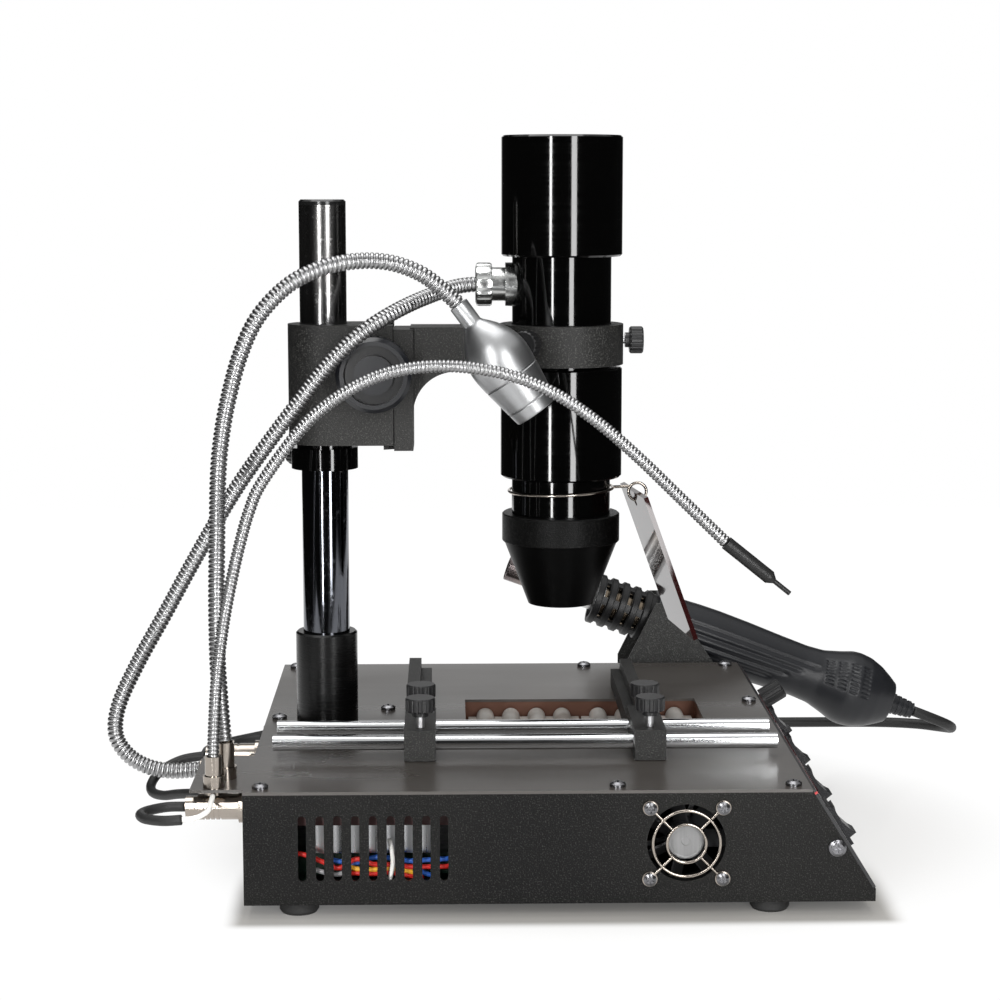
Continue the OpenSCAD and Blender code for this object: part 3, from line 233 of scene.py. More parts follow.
FROM_COIL = [(42, COIL_OUT, CORD_Z + CORD_D), (20, COIL_OUT - 1, CORD_Z + CORD_D),
             (0, COIL_OUT - 6, CORD_Z + 2.2), (-22, COIL_OUT - 17, CORD_Z),
             (-40, COIL_OUT - 34, CORD_Z), (-50, 315, CORD_Z + 0.5), (-47, 285, 1),
             (-36, 263, 10), (-22, 252, 18), (-11, 250, 20)]
coil = []
for k in range(TURNS * STEPS + 1):
    turn = k / STEPS
    angle = 2 * math.pi * turn
    r = COIL_R + CORD_D - CORD_D * turn
    climb = max(0.0, 1 - (TURNS - turn) / CLIMB)
    coil.append((COIL_X - r * math.sin(angle), COIL_Y + r * math.cos(angle),
                 CORD_Z + CORD_D * climb * climb * (3 - 2 * climb)))
CORDS["gun_cord"] = (CORD_D / 2000, "rubber", TO_COIL + coil + FROM_COIL)
tie_r = [COIL_R - CORD_D / 2 + side * (CORD_D + 0.7) for side in (-1, -0.93, -0.6, 0.6, 0.93, 1)]
tie_z = [CORD_Z + rise for rise in (-2.6, 3.1, 3.9, 3.9, 3.1, -2.6)]
tie_route = [at(COIL_X + 0.1 * k, COIL_Y - r, z) for k, (r, z) in enumerate(zip(tie_r, tie_z))]
tie, _ = tube("gun_cord_tie", tie_route, 0.0006, 8, 0.001)
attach(tie, "base")
cords = {}
for name, (radius, slot, route) in CORDS.items():
    points = [at(*p) for p in route]
    piece, line = tube(name + "_sheath", points, radius, 14, 0.0015)
    wound = name == "gun_cord"
    if wound:
        at(393, 325, 17)
        at(300, COIL_IN, CORD_Z)
        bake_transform(piece)
    else:
        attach(piece, "base")
    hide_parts(*([name, "cord_coil"] if wound else [name]))
    2 * radius
    cords[name] = piece

# %% [markdown]
# ## The two necks
# The lamp and the probe stand on wound metal necks that stay where they are bent. On the model a hinge at
# each foot stands in for that bending.

# %% Necks
LAMP_ROUTE = [(-11.2, 28, 75), (-12, 29.5, 84), (-13, 31, 97), (-14, 32.5, 115), (-14.2, 34, 143),
              (-13.7, 37, 173), (-13, 40, 203), (-11.5, 43, 222), (-8, 46, 242), (-2, 50, 264),
              (6.5, 54, 282), (20.6, 58, 297), (36.7, 62, 305.5), (54, 66, 309),
              (71, 67.5, 308.3), (86, 69, 303), (97, 70.8, 295), (105, 72, 287.6)]
PROBE_ROUTE = [(-14.7, 11, 72), (-14.3, 11, 82), (-12.6, 11, 107.5), (-9.3, 11, 132.6),
               (-5.6, 11, 152.6), (-0.5, 11, 174.5), (4.6, 11, 192), (11, 11, 206),
               (29, 11, 230.5), (43.7, 11, 244), (60.4, 11, 254), (77, 11, 259.5),
               (96, 11, 261.4), (115, 11, 260), (134, 11, 255.5), (153, 11, 247),
               (172.5, 11, 233.5), (191.7, 11, 216.7), (211, 11, 198), (233.6, 11, 176)]
lamp_neck, _ = tube("lamp_neck_wound", [at(*p) for p in LAMP_ROUTE], HOSE_WOUND, HOSE_SIDES, HOSE_STEP)
at(-11.2, 28, 75)
at(0, 50, 300)
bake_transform(lamp_neck)
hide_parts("lamp_neck")
probe_neck, _ = tube("probe_neck_wound", [at(*p) for p in PROBE_ROUTE],
                     ridged(0.003, 0.0006, 0.002), 14, 0.00025)
at(-14.7, 11, 72)
at(40, 11, 240)
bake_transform(probe_neck)
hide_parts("probe_neck")
print("neck faces", len(lamp_neck.data.polygons), len(probe_neck.data.polygons))

# %% [markdown]
# ## Behind the slots
# Through the slots one sees the side of a heat sink and a loose loom of coloured wires. The
# heat sink is an extrusion: a saw-toothed outline in plan, pulled straight up. Each wire is a tube
# along a few points that follow the colours seen in the photograph, slot by slot.

# %% Heat sink and loom
SLOT_X, SLOT_PITCH, SINK_TEETH = 28.5, 8.6, 7
SEEN_FROM_ABOVE = 2.4  # the camera looks down, so what hangs behind the wall sits lower than it seems
WIRE_R = 0.00125


def slot_at(i):
    return SLOT_X + SLOT_PITCH * i


def extrusion(name, outline, z0, z1):
    n = len(outline)
    verts = [at(x, y, z) for z in (z0, z1) for x, y in outline]
    faces = [[i, (i + 1) % n, n + (i + 1) % n, n + i] for i in range(n)]
    return mesh_piece(name, verts, faces + [list(range(n))[::-1], list(range(n, 2 * n))], False)


teeth = []
for i in range(SINK_TEETH):
    x = slot_at(i + 0.55)
    teeth += [(x, 13.0), (x + 0.72 * SLOT_PITCH, 11.6), (x + 0.8 * SLOT_PITCH, 10.2),
              (x + 0.97 * SLOT_PITCH, 10.2)]
sink = extrusion("heat_sink", teeth + [(teeth[-1][0], 20), (teeth[0][0], 20)], 22.4, 36.6)
strip = extrusion("insulating_strip", [(24, 9.5), (106, 9.0), (106, 9.4), (24, 9.9)], 37.2, 45.5)
LOOM = {
    "red": [((-0.6, 8, 26), (0, 7.5, 25.8), (1, 7, 22.5), (2, 6.5, 19), (3, 6, 23.6), (4, 6, 21),
             (5, 6.5, 20.6), (6, 6, 19.6), (7, 6, 19.6), (8, 6.5, 19.5), (9.2, 9, 20)),
            ((2.4, 9, 15.5), (3, 6, 16.6), (4, 6, 16.2), (5, 6.5, 16.6), (6, 6, 15.2), (6.8, 8, 13.5))],
    "yellow": [((2.6, 9, 20), (3, 6.2, 18.7), (4, 6.2, 18.3), (5, 7, 18.4), (6, 6.2, 17.3), (6.7, 8, 15))],
    "blue": [((1.6, 8, 23), (2, 7.5, 22.2), (3, 7.8, 21.1), (4, 9, 23.4), (5, 7.5, 23.6),
              (6, 6.3, 22.5), (7, 6.3, 22.9), (8, 6.5, 23.3), (9.2, 9, 24)),
             ((6.4, 9, 17.5), (7, 6.4, 15.9), (7.7, 8, 13.5))],
    "cream": [((4.9, 8, 33), (5.05, 4.6, 28), (5.1, 4.2, 22), (5.0, 4.4, 17), (4.9, 6, 12))],
    "grey": [((0.4, 9, 18.5), (1, 7, 17.2), (1.5, 8, 15.8), (2, 7.5, 15.6), (2.6, 9, 17))],
}
loom = {}
for colour, routes in LOOM.items():
    for k, route in enumerate(routes):
        points = [at(slot_at(i), y, z - SEEN_FROM_ABOVE) for i, y, z in route]
        wire, _ = tube(f"loom_{colour}_{k + 1}", points, WIRE_R, 10, 0.0012)
        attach(wire, "base")
        loom.setdefault(colour, []).append(wire)
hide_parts("wire_harness")
for piece, slot in ((sink, "steel"), (strip, "black_plastic")):
    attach(piece, "base")
print("loom wires", sum(len(w) for w in loom.values()))

# %% [markdown]
# ## The hot-air gun's handle
# The handle is a round grip that swells to a bulb at the cord. Long flutes run down its sides
# and a block of short vent slits sits on the bulb. One lathe profile gives the
# radius along the axis, and the flutes and slits are pressed into it as a function of place
# and angle.

# %% Gun handle
GUN_TIP = at(136.7, 325, 110.2)
GUN_SLOPE = math.radians(20)
GUN_DIR = np.array([math.cos(GUN_SLOPE), 0, -math.sin(GUN_SLOPE)])
GUN_UP = np.array([math.sin(GUN_SLOPE), 0, math.cos(GUN_SLOPE)])
ACROSS = np.array([0, 1, 0])
PROFILE = [(95, 14.6), (95, 19.4), (95.6, 20), (104.4, 20), (105, 19.4), (106, 17.8), (112, 17.8),
           (122, 18.3), (135, 18.5), (155, 18), (178, 17), (195, 16.5), (206, 17.3), (217, 20.5),
           (224, 23), (229, 23.5), (236, 22.8), (244, 20), (251, 16), (255.5, 13)]
PROFILE_STEP, SIDES = 0.7, 240
CRISP_ROWS, SMOOTHING = 12, 6  # the first rows keep their edges
FLUTES = ((62, 112, 206), (80, 112, 196), (98, 112, 188), (116, 112, 178))  # angle, start and end
FLUTE_DEPTH, FLUTE_WIDTH = 1.1, 1.5
SLIT_COLUMNS, SLIT_ROWS = 4, 8
SLIT_DEPTH, SLIT_WIDTH, SLIT_LENGTH = 0.9, 0.62, 5.4


def lathe_profile(profile, step):
    t = [profile[0][0]]
    r = [profile[0][1]]
    for (t0, r0), (t1, r1) in zip(profile[:-1], profile[1:]):
        n = max(1, int(math.hypot(t1 - t0, r1 - r0) / step))
        t += list(np.linspace(t0, t1, n + 1)[1:])
        r += list(np.linspace(r0, r1, n + 1)[1:])
    r = np.array(r)
    for _ in range(SMOOTHING):
        r[CRISP_ROWS:-1] = (r[CRISP_ROWS - 1:-2] + r[CRISP_ROWS:-1] * 2 + r[CRISP_ROWS + 1:]) / 4
    return np.array(t), r


def window(value, low, high, soft):
    return np.clip((value - low) / soft, 0, 1) * np.clip((high - value) / soft, 0, 1)


gun_t, gun_r = lathe_profile(PROFILE, PROFILE_STEP)
theta = np.linspace(0, 2 * math.pi, SIDES, endpoint=False)
side = np.abs(((theta + math.pi) % (2 * math.pi)) - math.pi)[None, :] * 180 / math.pi
T, R = gun_t[:, None], gun_r[:, None]


def arc_from(angle):
    """Distance over the skin from the line at that angle, the same on both sides of the gun."""
    return np.abs(side - angle) * math.pi / 180 * R


press = np.zeros((len(gun_t), SIDES))
for angle, t0, t1 in FLUTES:
    press += FLUTE_DEPTH * np.exp(-(arc_from(angle) / FLUTE_WIDTH) ** 2) * window(T, t0, t1, 5)
for column in range(SLIT_COLUMNS):
    for row in range(SLIT_ROWS):
        t0 = 207 + column * 7.6 + row * 0.3
        slit = np.exp(-(arc_from(40 + row * 6.6) / SLIT_WIDTH) ** 4)
        press += SLIT_DEPTH * slit * window(T, t0, t0 + SLIT_LENGTH, 0.8)
radius = (R - press) / 1000
spokes = np.cos(theta)[None, :, None] * GUN_UP + np.sin(theta)[None, :, None] * ACROSS
shape = np.array(GUN_TIP) + (T / 1000)[:, :, None] * GUN_DIR + radius[:, :, None] * spokes
handle = mesh_piece("gun_handle", shape.reshape(-1, 3), ring_faces(len(gun_t), SIDES, flipped=True))
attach(handle, "gun")
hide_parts("gun_shell")
print("gun handle faces", len(handle.data.polygons))

# %% [markdown]
# ## Turned pieces
# Many small parts come off a lathe, so one function turns them all from a list of distances along
# an axis and radii there. A third number in a row presses flutes into it. Edges sharper than
# about 30 degrees stay crisp, the rest is shaded smooth. The gun's cord relief is the first one.

# %% Turned pieces
SHARP = math.radians(32)
FLUTES_ROUND = 18


def lathe_piece(name, origin, axis, profile, sides=48, capped=True):
    """A turned piece: (distance along the axis, radius, depth of the flutes) in millimetres."""
    axis = Vector(axis).normalized()
    u = axis.orthogonal().normalized()
    w = axis.cross(u)
    verts = []
    for t, r, *flute in profile:
        for j in range(sides):
            a = 2 * math.pi * j / sides
            cut = flute[0] * abs(math.sin(FLUTES_ROUND / 2 * a)) if flute else 0.0
            spoke = u * math.cos(a) + w * math.sin(a)
            verts.append(Vector(origin) + axis * t / 1000 + spoke * (r - cut) / 1000)
    piece = mesh_piece(name, verts, ring_faces(len(profile), sides, capped))
    piece.data.set_sharp_from_angle(angle=SHARP)
    return piece


relief_profile = [(255.6, 7), (257.3, 6.8)]
for i in range(4):
    t, taper = 257.5 + i * 3.4, i * 0.4
    relief_profile += [(t, 6.6 - taper), (t + 1.8, 6.6 - taper), (t + 1.9, 5.9 - taper),
                       (t + 3.3, 5.8 - taper)]
relief = lathe_piece("gun_relief", GUN_TIP, GUN_DIR, relief_profile + [(271.6, 5), (271.7, 3.6)])
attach(relief, "gun")
print("relief faces", len(relief.data.polygons))

# %% [markdown]
# ## The gun's guard and nozzle
# A ribbed black guard keeps fingers off the hot tube, and rows of windows between its ribs let the
# air in. Cutting the windows with booleans would leave a ragged mesh. Here the guard is a grid of cells
# wrapped round the axis: a closed cell gets an outer and an inner face, an open cell gets none, and
# a wall is added wherever the two meet. The steel tubes inside it are turned pieces.

# %% Guard and nozzle
GUARD_START, RIBS, RIB_PITCH, RIB_WIDTH = 57, 5, 7.6, 4.0
AROUND, INNER = 72, 12.8
CELL_TURN = 360 // AROUND
guard_rows, window_rows = [], []
for i in range(RIBS):
    rib = GUARD_START + RIB_PITCH * i
    rib_end = rib + RIB_WIDTH
    guard_rows += [(rib, 15.3), (rib + 0.4, 15.8), (rib_end - 0.4, 15.8), (rib_end, 14.8)]
    if i < RIBS - 1:
        window_rows.append(len(guard_rows))
        guard_rows += [(rib_end + 0.4, 14.8), (rib_end + 3.2, 14.8)]
guard_rows += [(94, 14.8), (94.1, 14.4), (111, 14.4)]


def guard_cell_open(row, column):
    """Between one rib and the next, 40 degrees in every 60 are open."""
    return row in window_rows and (column * CELL_TURN + 12) % 60 < 40


def guard_point(t, column, r):
    a = 2 * math.pi * column / AROUND
    spoke = math.cos(a) * GUN_UP + math.sin(a) * ACROSS
    return np.array(GUN_TIP) + (t * GUN_DIR + r * spoke) / 1000


count = len(guard_rows)
verts = [guard_point(t, j, r) for t, r in guard_rows for j in range(AROUND)]
verts += [guard_point(t, j, INNER) for t, _ in guard_rows for j in range(AROUND)]
outside = [[i * AROUND + j for j in range(AROUND)] for i in range(count)]
inside = [[(count + i) * AROUND + j for j in range(AROUND)] for i in range(count)]
faces = []
for i in range(count - 1):
    for j in range(AROUND):
        k = (j + 1) % AROUND
        if guard_cell_open(i, j):
            continue
        faces.append([outside[i][j], outside[i + 1][j], outside[i + 1][k], outside[i][k]])
        faces.append([inside[i][j], inside[i][k], inside[i + 1][k], inside[i + 1][j]])
        if guard_cell_open(i, k):
            faces.append([outside[i][k], outside[i + 1][k], inside[i + 1][k], inside[i][k]])
        if guard_cell_open(i, j - 1):
            faces.append([outside[i + 1][j], outside[i][j], inside[i][j], inside[i + 1][j]])
        if guard_cell_open(i + 1, j) or i == count - 2:
            faces.append([outside[i + 1][j], inside[i + 1][j], inside[i + 1][k], outside[i + 1][k]])
        if i == 0 or guard_cell_open(i - 1, j):
            faces.append([outside[i][j], outside[i][k], inside[i][k], inside[i][j]])
guard_piece = mesh_piece("gun_guard", verts, faces)
guard_piece.data.set_sharp_from_angle(angle=SHARP)
nozzle_tube = lathe_piece("gun_nozzle", GUN_TIP, GUN_DIR, [
    (25, 6.8), (0.3, 6.8), (0, 7.1), (0, 7.7), (0.3, 8), (56.9, 8), (60, 8), (60.3, 11.6),
    (60.6, 12), (62, 12)])
heater_tube = lathe_piece("gun_heater_tube", GUN_TIP, GUN_DIR, [
    (62.2, 9), (62.3, 11), (70, 11), (70.3, 11.3), (73, 11.3), (73.3, 11), (94, 11), (94.2, 9)])
for piece, slot in ((guard_piece, "black_plastic"), (nozzle_tube, "steel"), (heater_tube, "steel")):
    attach(piece, "gun")
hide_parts("gun_barrel")
print("guard faces", len(guard_piece.data.polygons))

# %% [markdown]
# ## The work lamp and the gland on the head
# The lamp is turned from aluminium: a slim neck that swells to a belly and tapers to the mouth, with
# two fine parting lines. A smooth curve through a few radii gives a cleaner highlight than straight
# cones would. The hose is held by a fluted nut, which sits over the hexagon of the gland.

# %% Lamp and gland nut
LAMP_END = at(105, 72, 287.6)
LAMP_TILT = math.radians(143.7)
LAMP_DIR = (math.sin(LAMP_TILT), 0, math.cos(LAMP_TILT))
LAMP_RADII = [(12, 5), (13.4, 5.7), (16, 8), (20, 11), (25.5, 14), (31, 15.6), (36, 16), (43, 15.4),
              (51, 14.2), (60, 12.8), (66.6, 11.7)]
PARTINGS = (45.5, 60.5)
lamp_curve, _ = smooth_route([(t, r, 0) for t, r in LAMP_RADII], 0.5)
lamp_profile = [(0.3, 4.4), (0.6, 5)]
for t, r, _ in lamp_curve:
    parting = any(abs(t - place) < 0.3 for place in PARTINGS)
    lamp_profile.append((t, r - 0.3 if parting else r))
lamp_profile += [(67, 11.4), (67, 10.5), (61.4, 10.3)]
lamp_body = lathe_piece("lamp_body", LAMP_END, LAMP_DIR, lamp_profile, 72)
lamp_lens = lathe_piece("lamp_lens", LAMP_END, LAMP_DIR, [
    (61.5, 10), (63, 10.1), (63.6, 9.4), (64.3, 6), (64.6, 2), (64.7, 0.3)])
for piece, slot in ((lamp_body, "aluminium"), (lamp_lens, "gloss_plastic")):
    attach(piece, "lamp")
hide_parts("lamp_shell")
gland_nut = lathe_piece("gland_nut", at(134.1, 145, 294), (1, 0, 0), [
    (-12.4, 4.7), (-19.4, 4.7), (-19.5, 9.4), (-18.9, 11, 0.2), (-18, 11.5, 0.45), (-11.8, 11.5, 0.45),
    (-10.7, 11, 0.2), (-10.5, 9.2)], 144, False)
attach(gland_nut, "head")
print("lamp faces", len(lamp_body.data.polygons))

# %% [markdown]
# ## The fan's hub
# The rotor's hub carries a plain metal disc with a rolled rim. It is turned from a short profile and
# spins with the rotor.

# %% Fan hub
HUB_PROFILE = [(-0.1, 8.7), (0.12, 8.8), (0.3, 8.5), (0.3, 7.9), (0.15, 7.6), (0.12, 2.2), (0.3, 1.9),
               (0.32, 0.2)]
hub = lathe_piece("fan_hub_disc", at(215, 2.75, 30.1), (0, -1, 0), HUB_PROFILE)
hub.data.shade_flat()
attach(hub, "fan")
print("hub faces", len(hub.data.polygons))

# %% [markdown]
# ## Writing shader maths as Python
# A finish is a small program: where is this point, how rough is it here, what colour is it
# here. Wiring that by hand hides the thought, so a socket gets wrapped in a class whose
# operators add the Math nodes. `1 - mask` then works, and a finish reads like a formula.

# %% Sockets as values


class Flow:
    def __init__(self, graph, socket):
        self.graph, self.socket = graph, socket

    def _math(self, operation, first, second):
        return self.graph.node("ShaderNodeMath", {"operation": operation}, {0: first, 1: second})

    def __add__(self, other):
        return self._math("ADD", self, other)

    def __sub__(self, other):
        return self._math("SUBTRACT", self, other)

    def __rsub__(self, other):
        return self._math("SUBTRACT", other, self)

    def __mul__(self, other):
        return self._math("MULTIPLY", self, other)

    def __truediv__(self, other):
        return self._math("DIVIDE", self, other)

    def __pow__(self, other):
        return self._math("POWER", self, other)

    def above(self, level):
        return self._math("GREATER_THAN", self, level)

    def below(self, level):
        return self._math("LESS_THAN", self, level)

    def larger(self, other):
        return self._math("MAXIMUM", self, other)


class Graph:
    """A node tree. Its methods add nodes and return their output as a Flow."""

    def __init__(self, tree):
        self.tree = tree

    def node(self, kind, settings=None, sockets=None, out=0):
        made = self.tree.nodes.new(kind)
        for key, value in (settings or {}).items():
            if key == "stops":
                ramp = made.color_ramp
                while len(ramp.elements) < len(value):
                    ramp.elements.new(0.5)
                for element, (place, colour) in zip(ramp.elements, value):
                    element.position, element.color = place, (*colour, 1.0)
            else:
                setattr(made, key, value)
        for key, value in (sockets or {}).items():
            if isinstance(value, Flow):
                self.tree.links.new(value.socket, made.inputs[key])
            else:
                made.inputs[key].default_value = value
        return Flow(self, made.outputs[out]) if len(made.outputs) else None

    def place(self):
        return self.node("ShaderNodeTexCoord", out=3)

    def axis(self, k):
        return self.node("ShaderNodeSeparateXYZ", sockets={0: self.place()}, out=k)

    def stretched(self, scale):
        return self.node("ShaderNodeMapping", sockets={"Vector": self.place(), "Scale": scale})

    def from_axis(self, place, a, b):
        """Distance from a line through that place, measured across the axes a and b."""
        return ((self.axis(a) - place[a]) ** 2 + (self.axis(b) - place[b]) ** 2) ** 0.5

    def noise(self, scale, detail=3.0, vector=None):
        return self.node("ShaderNodeTexNoise", sockets={
            "Vector": vector or self.place(), "Scale": scale, "Detail": detail})

    def rings(self, distance, scale):
        return self.node("ShaderNodeTexNoise", {"noise_dimensions": "1D"},
                         {"W": distance, "Scale": scale, "Detail": 3.0})

    def mix(self, factor, first, second):
        pair = [(*c, 1.0) if isinstance(c, tuple) and len(c) == 3 else c for c in (first, second)]
        return self.node("ShaderNodeMix", {"data_type": "RGBA"}, {0: factor, 6: pair[0], 7: pair[1]}, out=2)

    def ramp(self, factor, *stops):
        return self.node("ShaderNodeValToRGB", {"stops": stops}, {0: factor})

    def level(self, value, low, high, to_low=0.0, to_high=1.0):
        return self.node("ShaderNodeMapRange", {"interpolation_type": "SMOOTHSTEP"},
                         {0: value, 1: low, 2: high, 3: to_low, 4: to_high})

    def spread(self, noise, low, high):
        """Noise lies mostly between 0.3 and 0.7, and that range is laid over low to high."""
        return self.level(noise, 0.3, 0.7, low, high)

    def bump(self, height, strength, distance):
        return self.node("ShaderNodeBump", sockets={
            "Strength": strength, "Distance": distance, "Height": height})

    def rays(self):
        """Whether a ray comes from the camera, from a mirror or from glass."""
        return [self.node("ShaderNodeLightPath", out=k) for k in (0, 3, 6)]


class Finish(Graph):
    """A material, with its main shader."""

    def __init__(self, name):
        self.material = bpy.data.materials.new(name)
        self.material.use_nodes = True
        super().__init__(self.material.node_tree)
        self.shader = self.tree.nodes["Principled BSDF"]

    def set(self, **values):
        for key, value in values.items():
            socket = self.shader.inputs[key.replace("_", " ")]
            if isinstance(value, Flow):
                self.tree.links.new(value.socket, socket)
            elif isinstance(value, tuple) and len(value) == 3:
                socket.default_value = (*value, 1.0)
            else:
                socket.default_value = value
        return self.material


def paint(material, *names):
    for name in names:
        piece = nodes[name] if isinstance(name, str) else name
        piece.data.materials.clear()
        piece.data.materials.append(material)


# %% [markdown]
# ## Black powder coat and the satin top
# The tray, the holder and the castings carry a fine-textured black powder coat: tiny bumps, less than a
# millimetre across, that break up reflections. The holder's coat is painted lighter than the tray's:
# painted light for its side that faces the camera. The top plate is smoother. It mirrors the white
# surroundings softly, so it reads lighter than the walls. The panel has a smooth overlay with a thin red
# line along its top.

# %% Sheet-metal finishes


def powder_coat(name, dark, light, rough, grain, shine):
    f = Finish(name)
    cloud = f.level(f.noise(7.0, 2.0), 0.35, 0.65)
    fine = f.noise(grain, 2.0)
    fleck = f.level(fine, 0.52, 0.7) * 0.7
    return f.set(Base_Color=f.mix(fleck, f.mix(cloud, dark, light), tuple(5 * c for c in light)),
                 Roughness=f.spread(fine, rough - 0.06, rough + 0.08),
                 Normal=f.bump(fine, 0.6, 0.0004), Specular_IOR_Level=shine)


tray_black = powder_coat("tray_powder_coat", (0.003, 0.003, 0.003), (0.007, 0.0069, 0.0064),
                         0.44, 1300.0, 0.14)
# The holder wears the tray's black coat painted lighter: painted light for the side that faces the camera.
holder_black_painted_lit = powder_coat("holder_powder_coat_painted_lit", (0.016, 0.016, 0.0155), (0.024, 0.024, 0.023),
                           0.5, 1800.0, 0.3)
cast_black = powder_coat("casting_black", (0.008, 0.008, 0.0078), (0.014, 0.0138, 0.013),
                         0.5, 1400.0, 0.28)
f = Finish("top_plate_satin")
smear = f.noise(3.0, 5.0, f.stretched((1.0, 6.0, 1.0)))
fine = f.noise(2600.0, 2.0)
plate_satin = f.set(Base_Color=f.mix(smear, (0.036, 0.031, 0.027), (0.05, 0.044, 0.039)),
                    Roughness=f.spread(smear, 0.26, 0.34), Normal=f.bump(fine, 0.1, 0.0001),
                    Specular_IOR_Level=1.0)
f = Finish("panel_overlay")
PANEL_TOP, PANEL_DOWN = at(277.5, 0, 56.5), (0.528423, -0.848981)
down = (f.axis(0) - PANEL_TOP[0]) * PANEL_DOWN[0] + (f.axis(2) - PANEL_TOP[2]) * PANEL_DOWN[1]
line = down.above(0.0012) * down.below(0.0024)
fine = f.noise(2400.0, 2.0)
panel_black = f.set(Base_Color=f.mix(line, (0.012, 0.012, 0.013), (0.35, 0.02, 0.02)),
                    Roughness=f.spread(fine, 0.32, 0.42), Normal=f.bump(fine, 0.15, 0.0001))
paint(tray_black, "bottom_tray")
paint(holder_black_painted_lit, "gun_holder")
paint(plate_satin, "top_cover")
paint(panel_black, "control_panel")
paint(cast_black, "carriage", "head_arm", "left_jaw", "right_jaw")
print("finishes", len(bpy.data.materials))

# %% [markdown]
# ## Bright metal
# The column, the rods and the fan guard are plated. Their colour is all reflection, so the finish is
# metallic with a low roughness, and faint marks along the length keep it from looking like a perfect
# mirror. The column's upper part is painted lighter and warmer as a painted sheen. Hoses and necks are
# duller steel.

# %% Metal finishes


def plated(name, tint, rough, stretch):
    f = Finish(name)
    marks = f.noise(60.0, 6.0, f.stretched(stretch))
    haze = f.noise(14.0, 3.0)
    return f.set(Base_Color=f.mix(haze, tint, tuple(c * 0.9 for c in tint)), Metallic=1.0,
                 Roughness=f.level(marks, 0.35, 0.75, rough, rough + 0.08))


rod_chrome = plated("rod_chrome", (0.76, 0.77, 0.78), 0.09, (0.3, 9.0, 9.0))
small_chrome = plated("small_parts_plating", (0.42, 0.375, 0.33), 0.16, (5.0, 5.0, 5.0))
screw_steel = plated("screw_steel", (0.22, 0.22, 0.23), 0.26, (8.0, 8.0, 8.0))
f = Finish("wound_steel")
speck = f.noise(900.0, 3.0)
tone = f.noise(25.0, 3.0)
wound_steel = f.set(Base_Color=f.mix(tone, (0.35, 0.35, 0.35), (0.45, 0.45, 0.455)), Metallic=1.0,
                    Roughness=f.spread(speck, 0.29, 0.35))
f = Finish("column_chrome")
cap = f.axis(2).above((336.0 + FOOT) / 1000)
marks = f.noise(60.0, 6.0, f.stretched((9.0, 9.0, 0.3)))
pits = f.level(f.noise(420.0, 4.0), 0.58, 0.72)
# From about a quarter metre up, with a ragged edge, the plating is painted lighter and warmer: a painted
# sheen of broad highlights on the upper column.
painted_upper_sheen = f.level(f.axis(2) + f.noise(40.0, 4.0) * 0.03, 0.245, 0.33)
plating = f.mix(f.noise(14.0), (0.09, 0.095, 0.11), (0.14, 0.145, 0.16))
chrome = f.mix(painted_upper_sheen, plating, (0.27, 0.265, 0.26))
paint(f.set(Base_Color=f.mix(cap, chrome, (0.008, 0.008, 0.008)), Metallic=1 - cap,
            Roughness=f.level(marks, 0.35, 0.75, 0.05, 0.13) + pits * 0.12 + painted_upper_sheen * 0.12), "column")
paint(rod_chrome, "board_rods")
paint(small_chrome, "fan_guard", "neck_ferrules", "cable_plugs", "rear_sockets", "shield_wire")
paint(plated("gland_plating", (0.66, 0.67, 0.66), 0.2, (5.0, 5.0, 5.0)), "head_gland", gland_nut)
paint(screw_steel, "chassis_screws")
paint(wound_steel, lamp_neck, probe_neck, *hose_pieces)
print("finishes", len(bpy.data.materials))

# %% [markdown]
# ## The glossy head
# Tube, sleeves and nozzle are turned from aluminium and anodised black. Turning leaves hair-fine
# rings round the axis. They hardly show, except where a light's edge runs down the tube. The
# nozzle has a finely knurled skirt above its cone.

# %% Head finishes
HEAD = at(160.6, 145, 0)


def anodised(name, rough, tone, shine):
    f = Finish(name)
    turned = f.noise(700.0, 3.0, f.stretched((0.02, 0.02, 1.0)))
    dust = f.noise(40.0, 5.0)
    return f.set(Base_Color=f.mix(dust, (0.0004 * tone,) * 3, (0.0009 * tone,) * 3),
                 Roughness=f.spread(turned, rough, rough + 0.05),
                 Normal=f.bump(turned, 0.015, 0.0001), Specular_IOR_Level=shine)


sleeve_black = anodised("sleeve_anodised", 0.05, 1.0, 0.45)
f = Finish("nozzle_anodised")
skirt = f.axis(2).above((156.2 + FOOT) / 1000)
knurl = f.noise(1500.0, 2.0)
grain = skirt * f.level(knurl, 0.5, 0.7)
nozzle_black = f.set(Base_Color=f.mix(grain, (0.0006, 0.0006, 0.0006), (0.009, 0.009, 0.0086)),
                     Roughness=f.spread(knurl, 0.34, 0.4), Normal=f.bump(skirt * knurl, 0.5, 0.0004),
                     Specular_IOR_Level=0.11)
paint(sleeve_black, "head_tube", "head_sleeves", "stop_collar")
paint(anodised("socket_anodised", 0.24, 2.0, 0.3), "column_socket")
paint(nozzle_black, "head_nozzle")
print("finishes", len(bpy.data.materials))

# %% [markdown]
# ## Plastics and rubber
# Knobs and thumbscrews are moulded in matt black, the switches and the gun in a slightly glossy
# blue-black, the feet and cords in rubber. Each gets a fine moulded texture in its
# roughness and bump, and a trace of dust in its colour.

# %% Moulded finishes


def moulded(name, dark, light, rough, grain, bump=0.12):
    f = Finish(name)
    dust = f.noise(30.0, 5.0)
    fine = f.noise(grain, 2.0)
    return f.set(Base_Color=f.mix(dust, dark, light),
                 Roughness=f.spread(fine, rough - 0.05, rough + 0.07),
                 Normal=f.bump(fine, bump, 0.0001), Specular_IOR_Level=0.35)


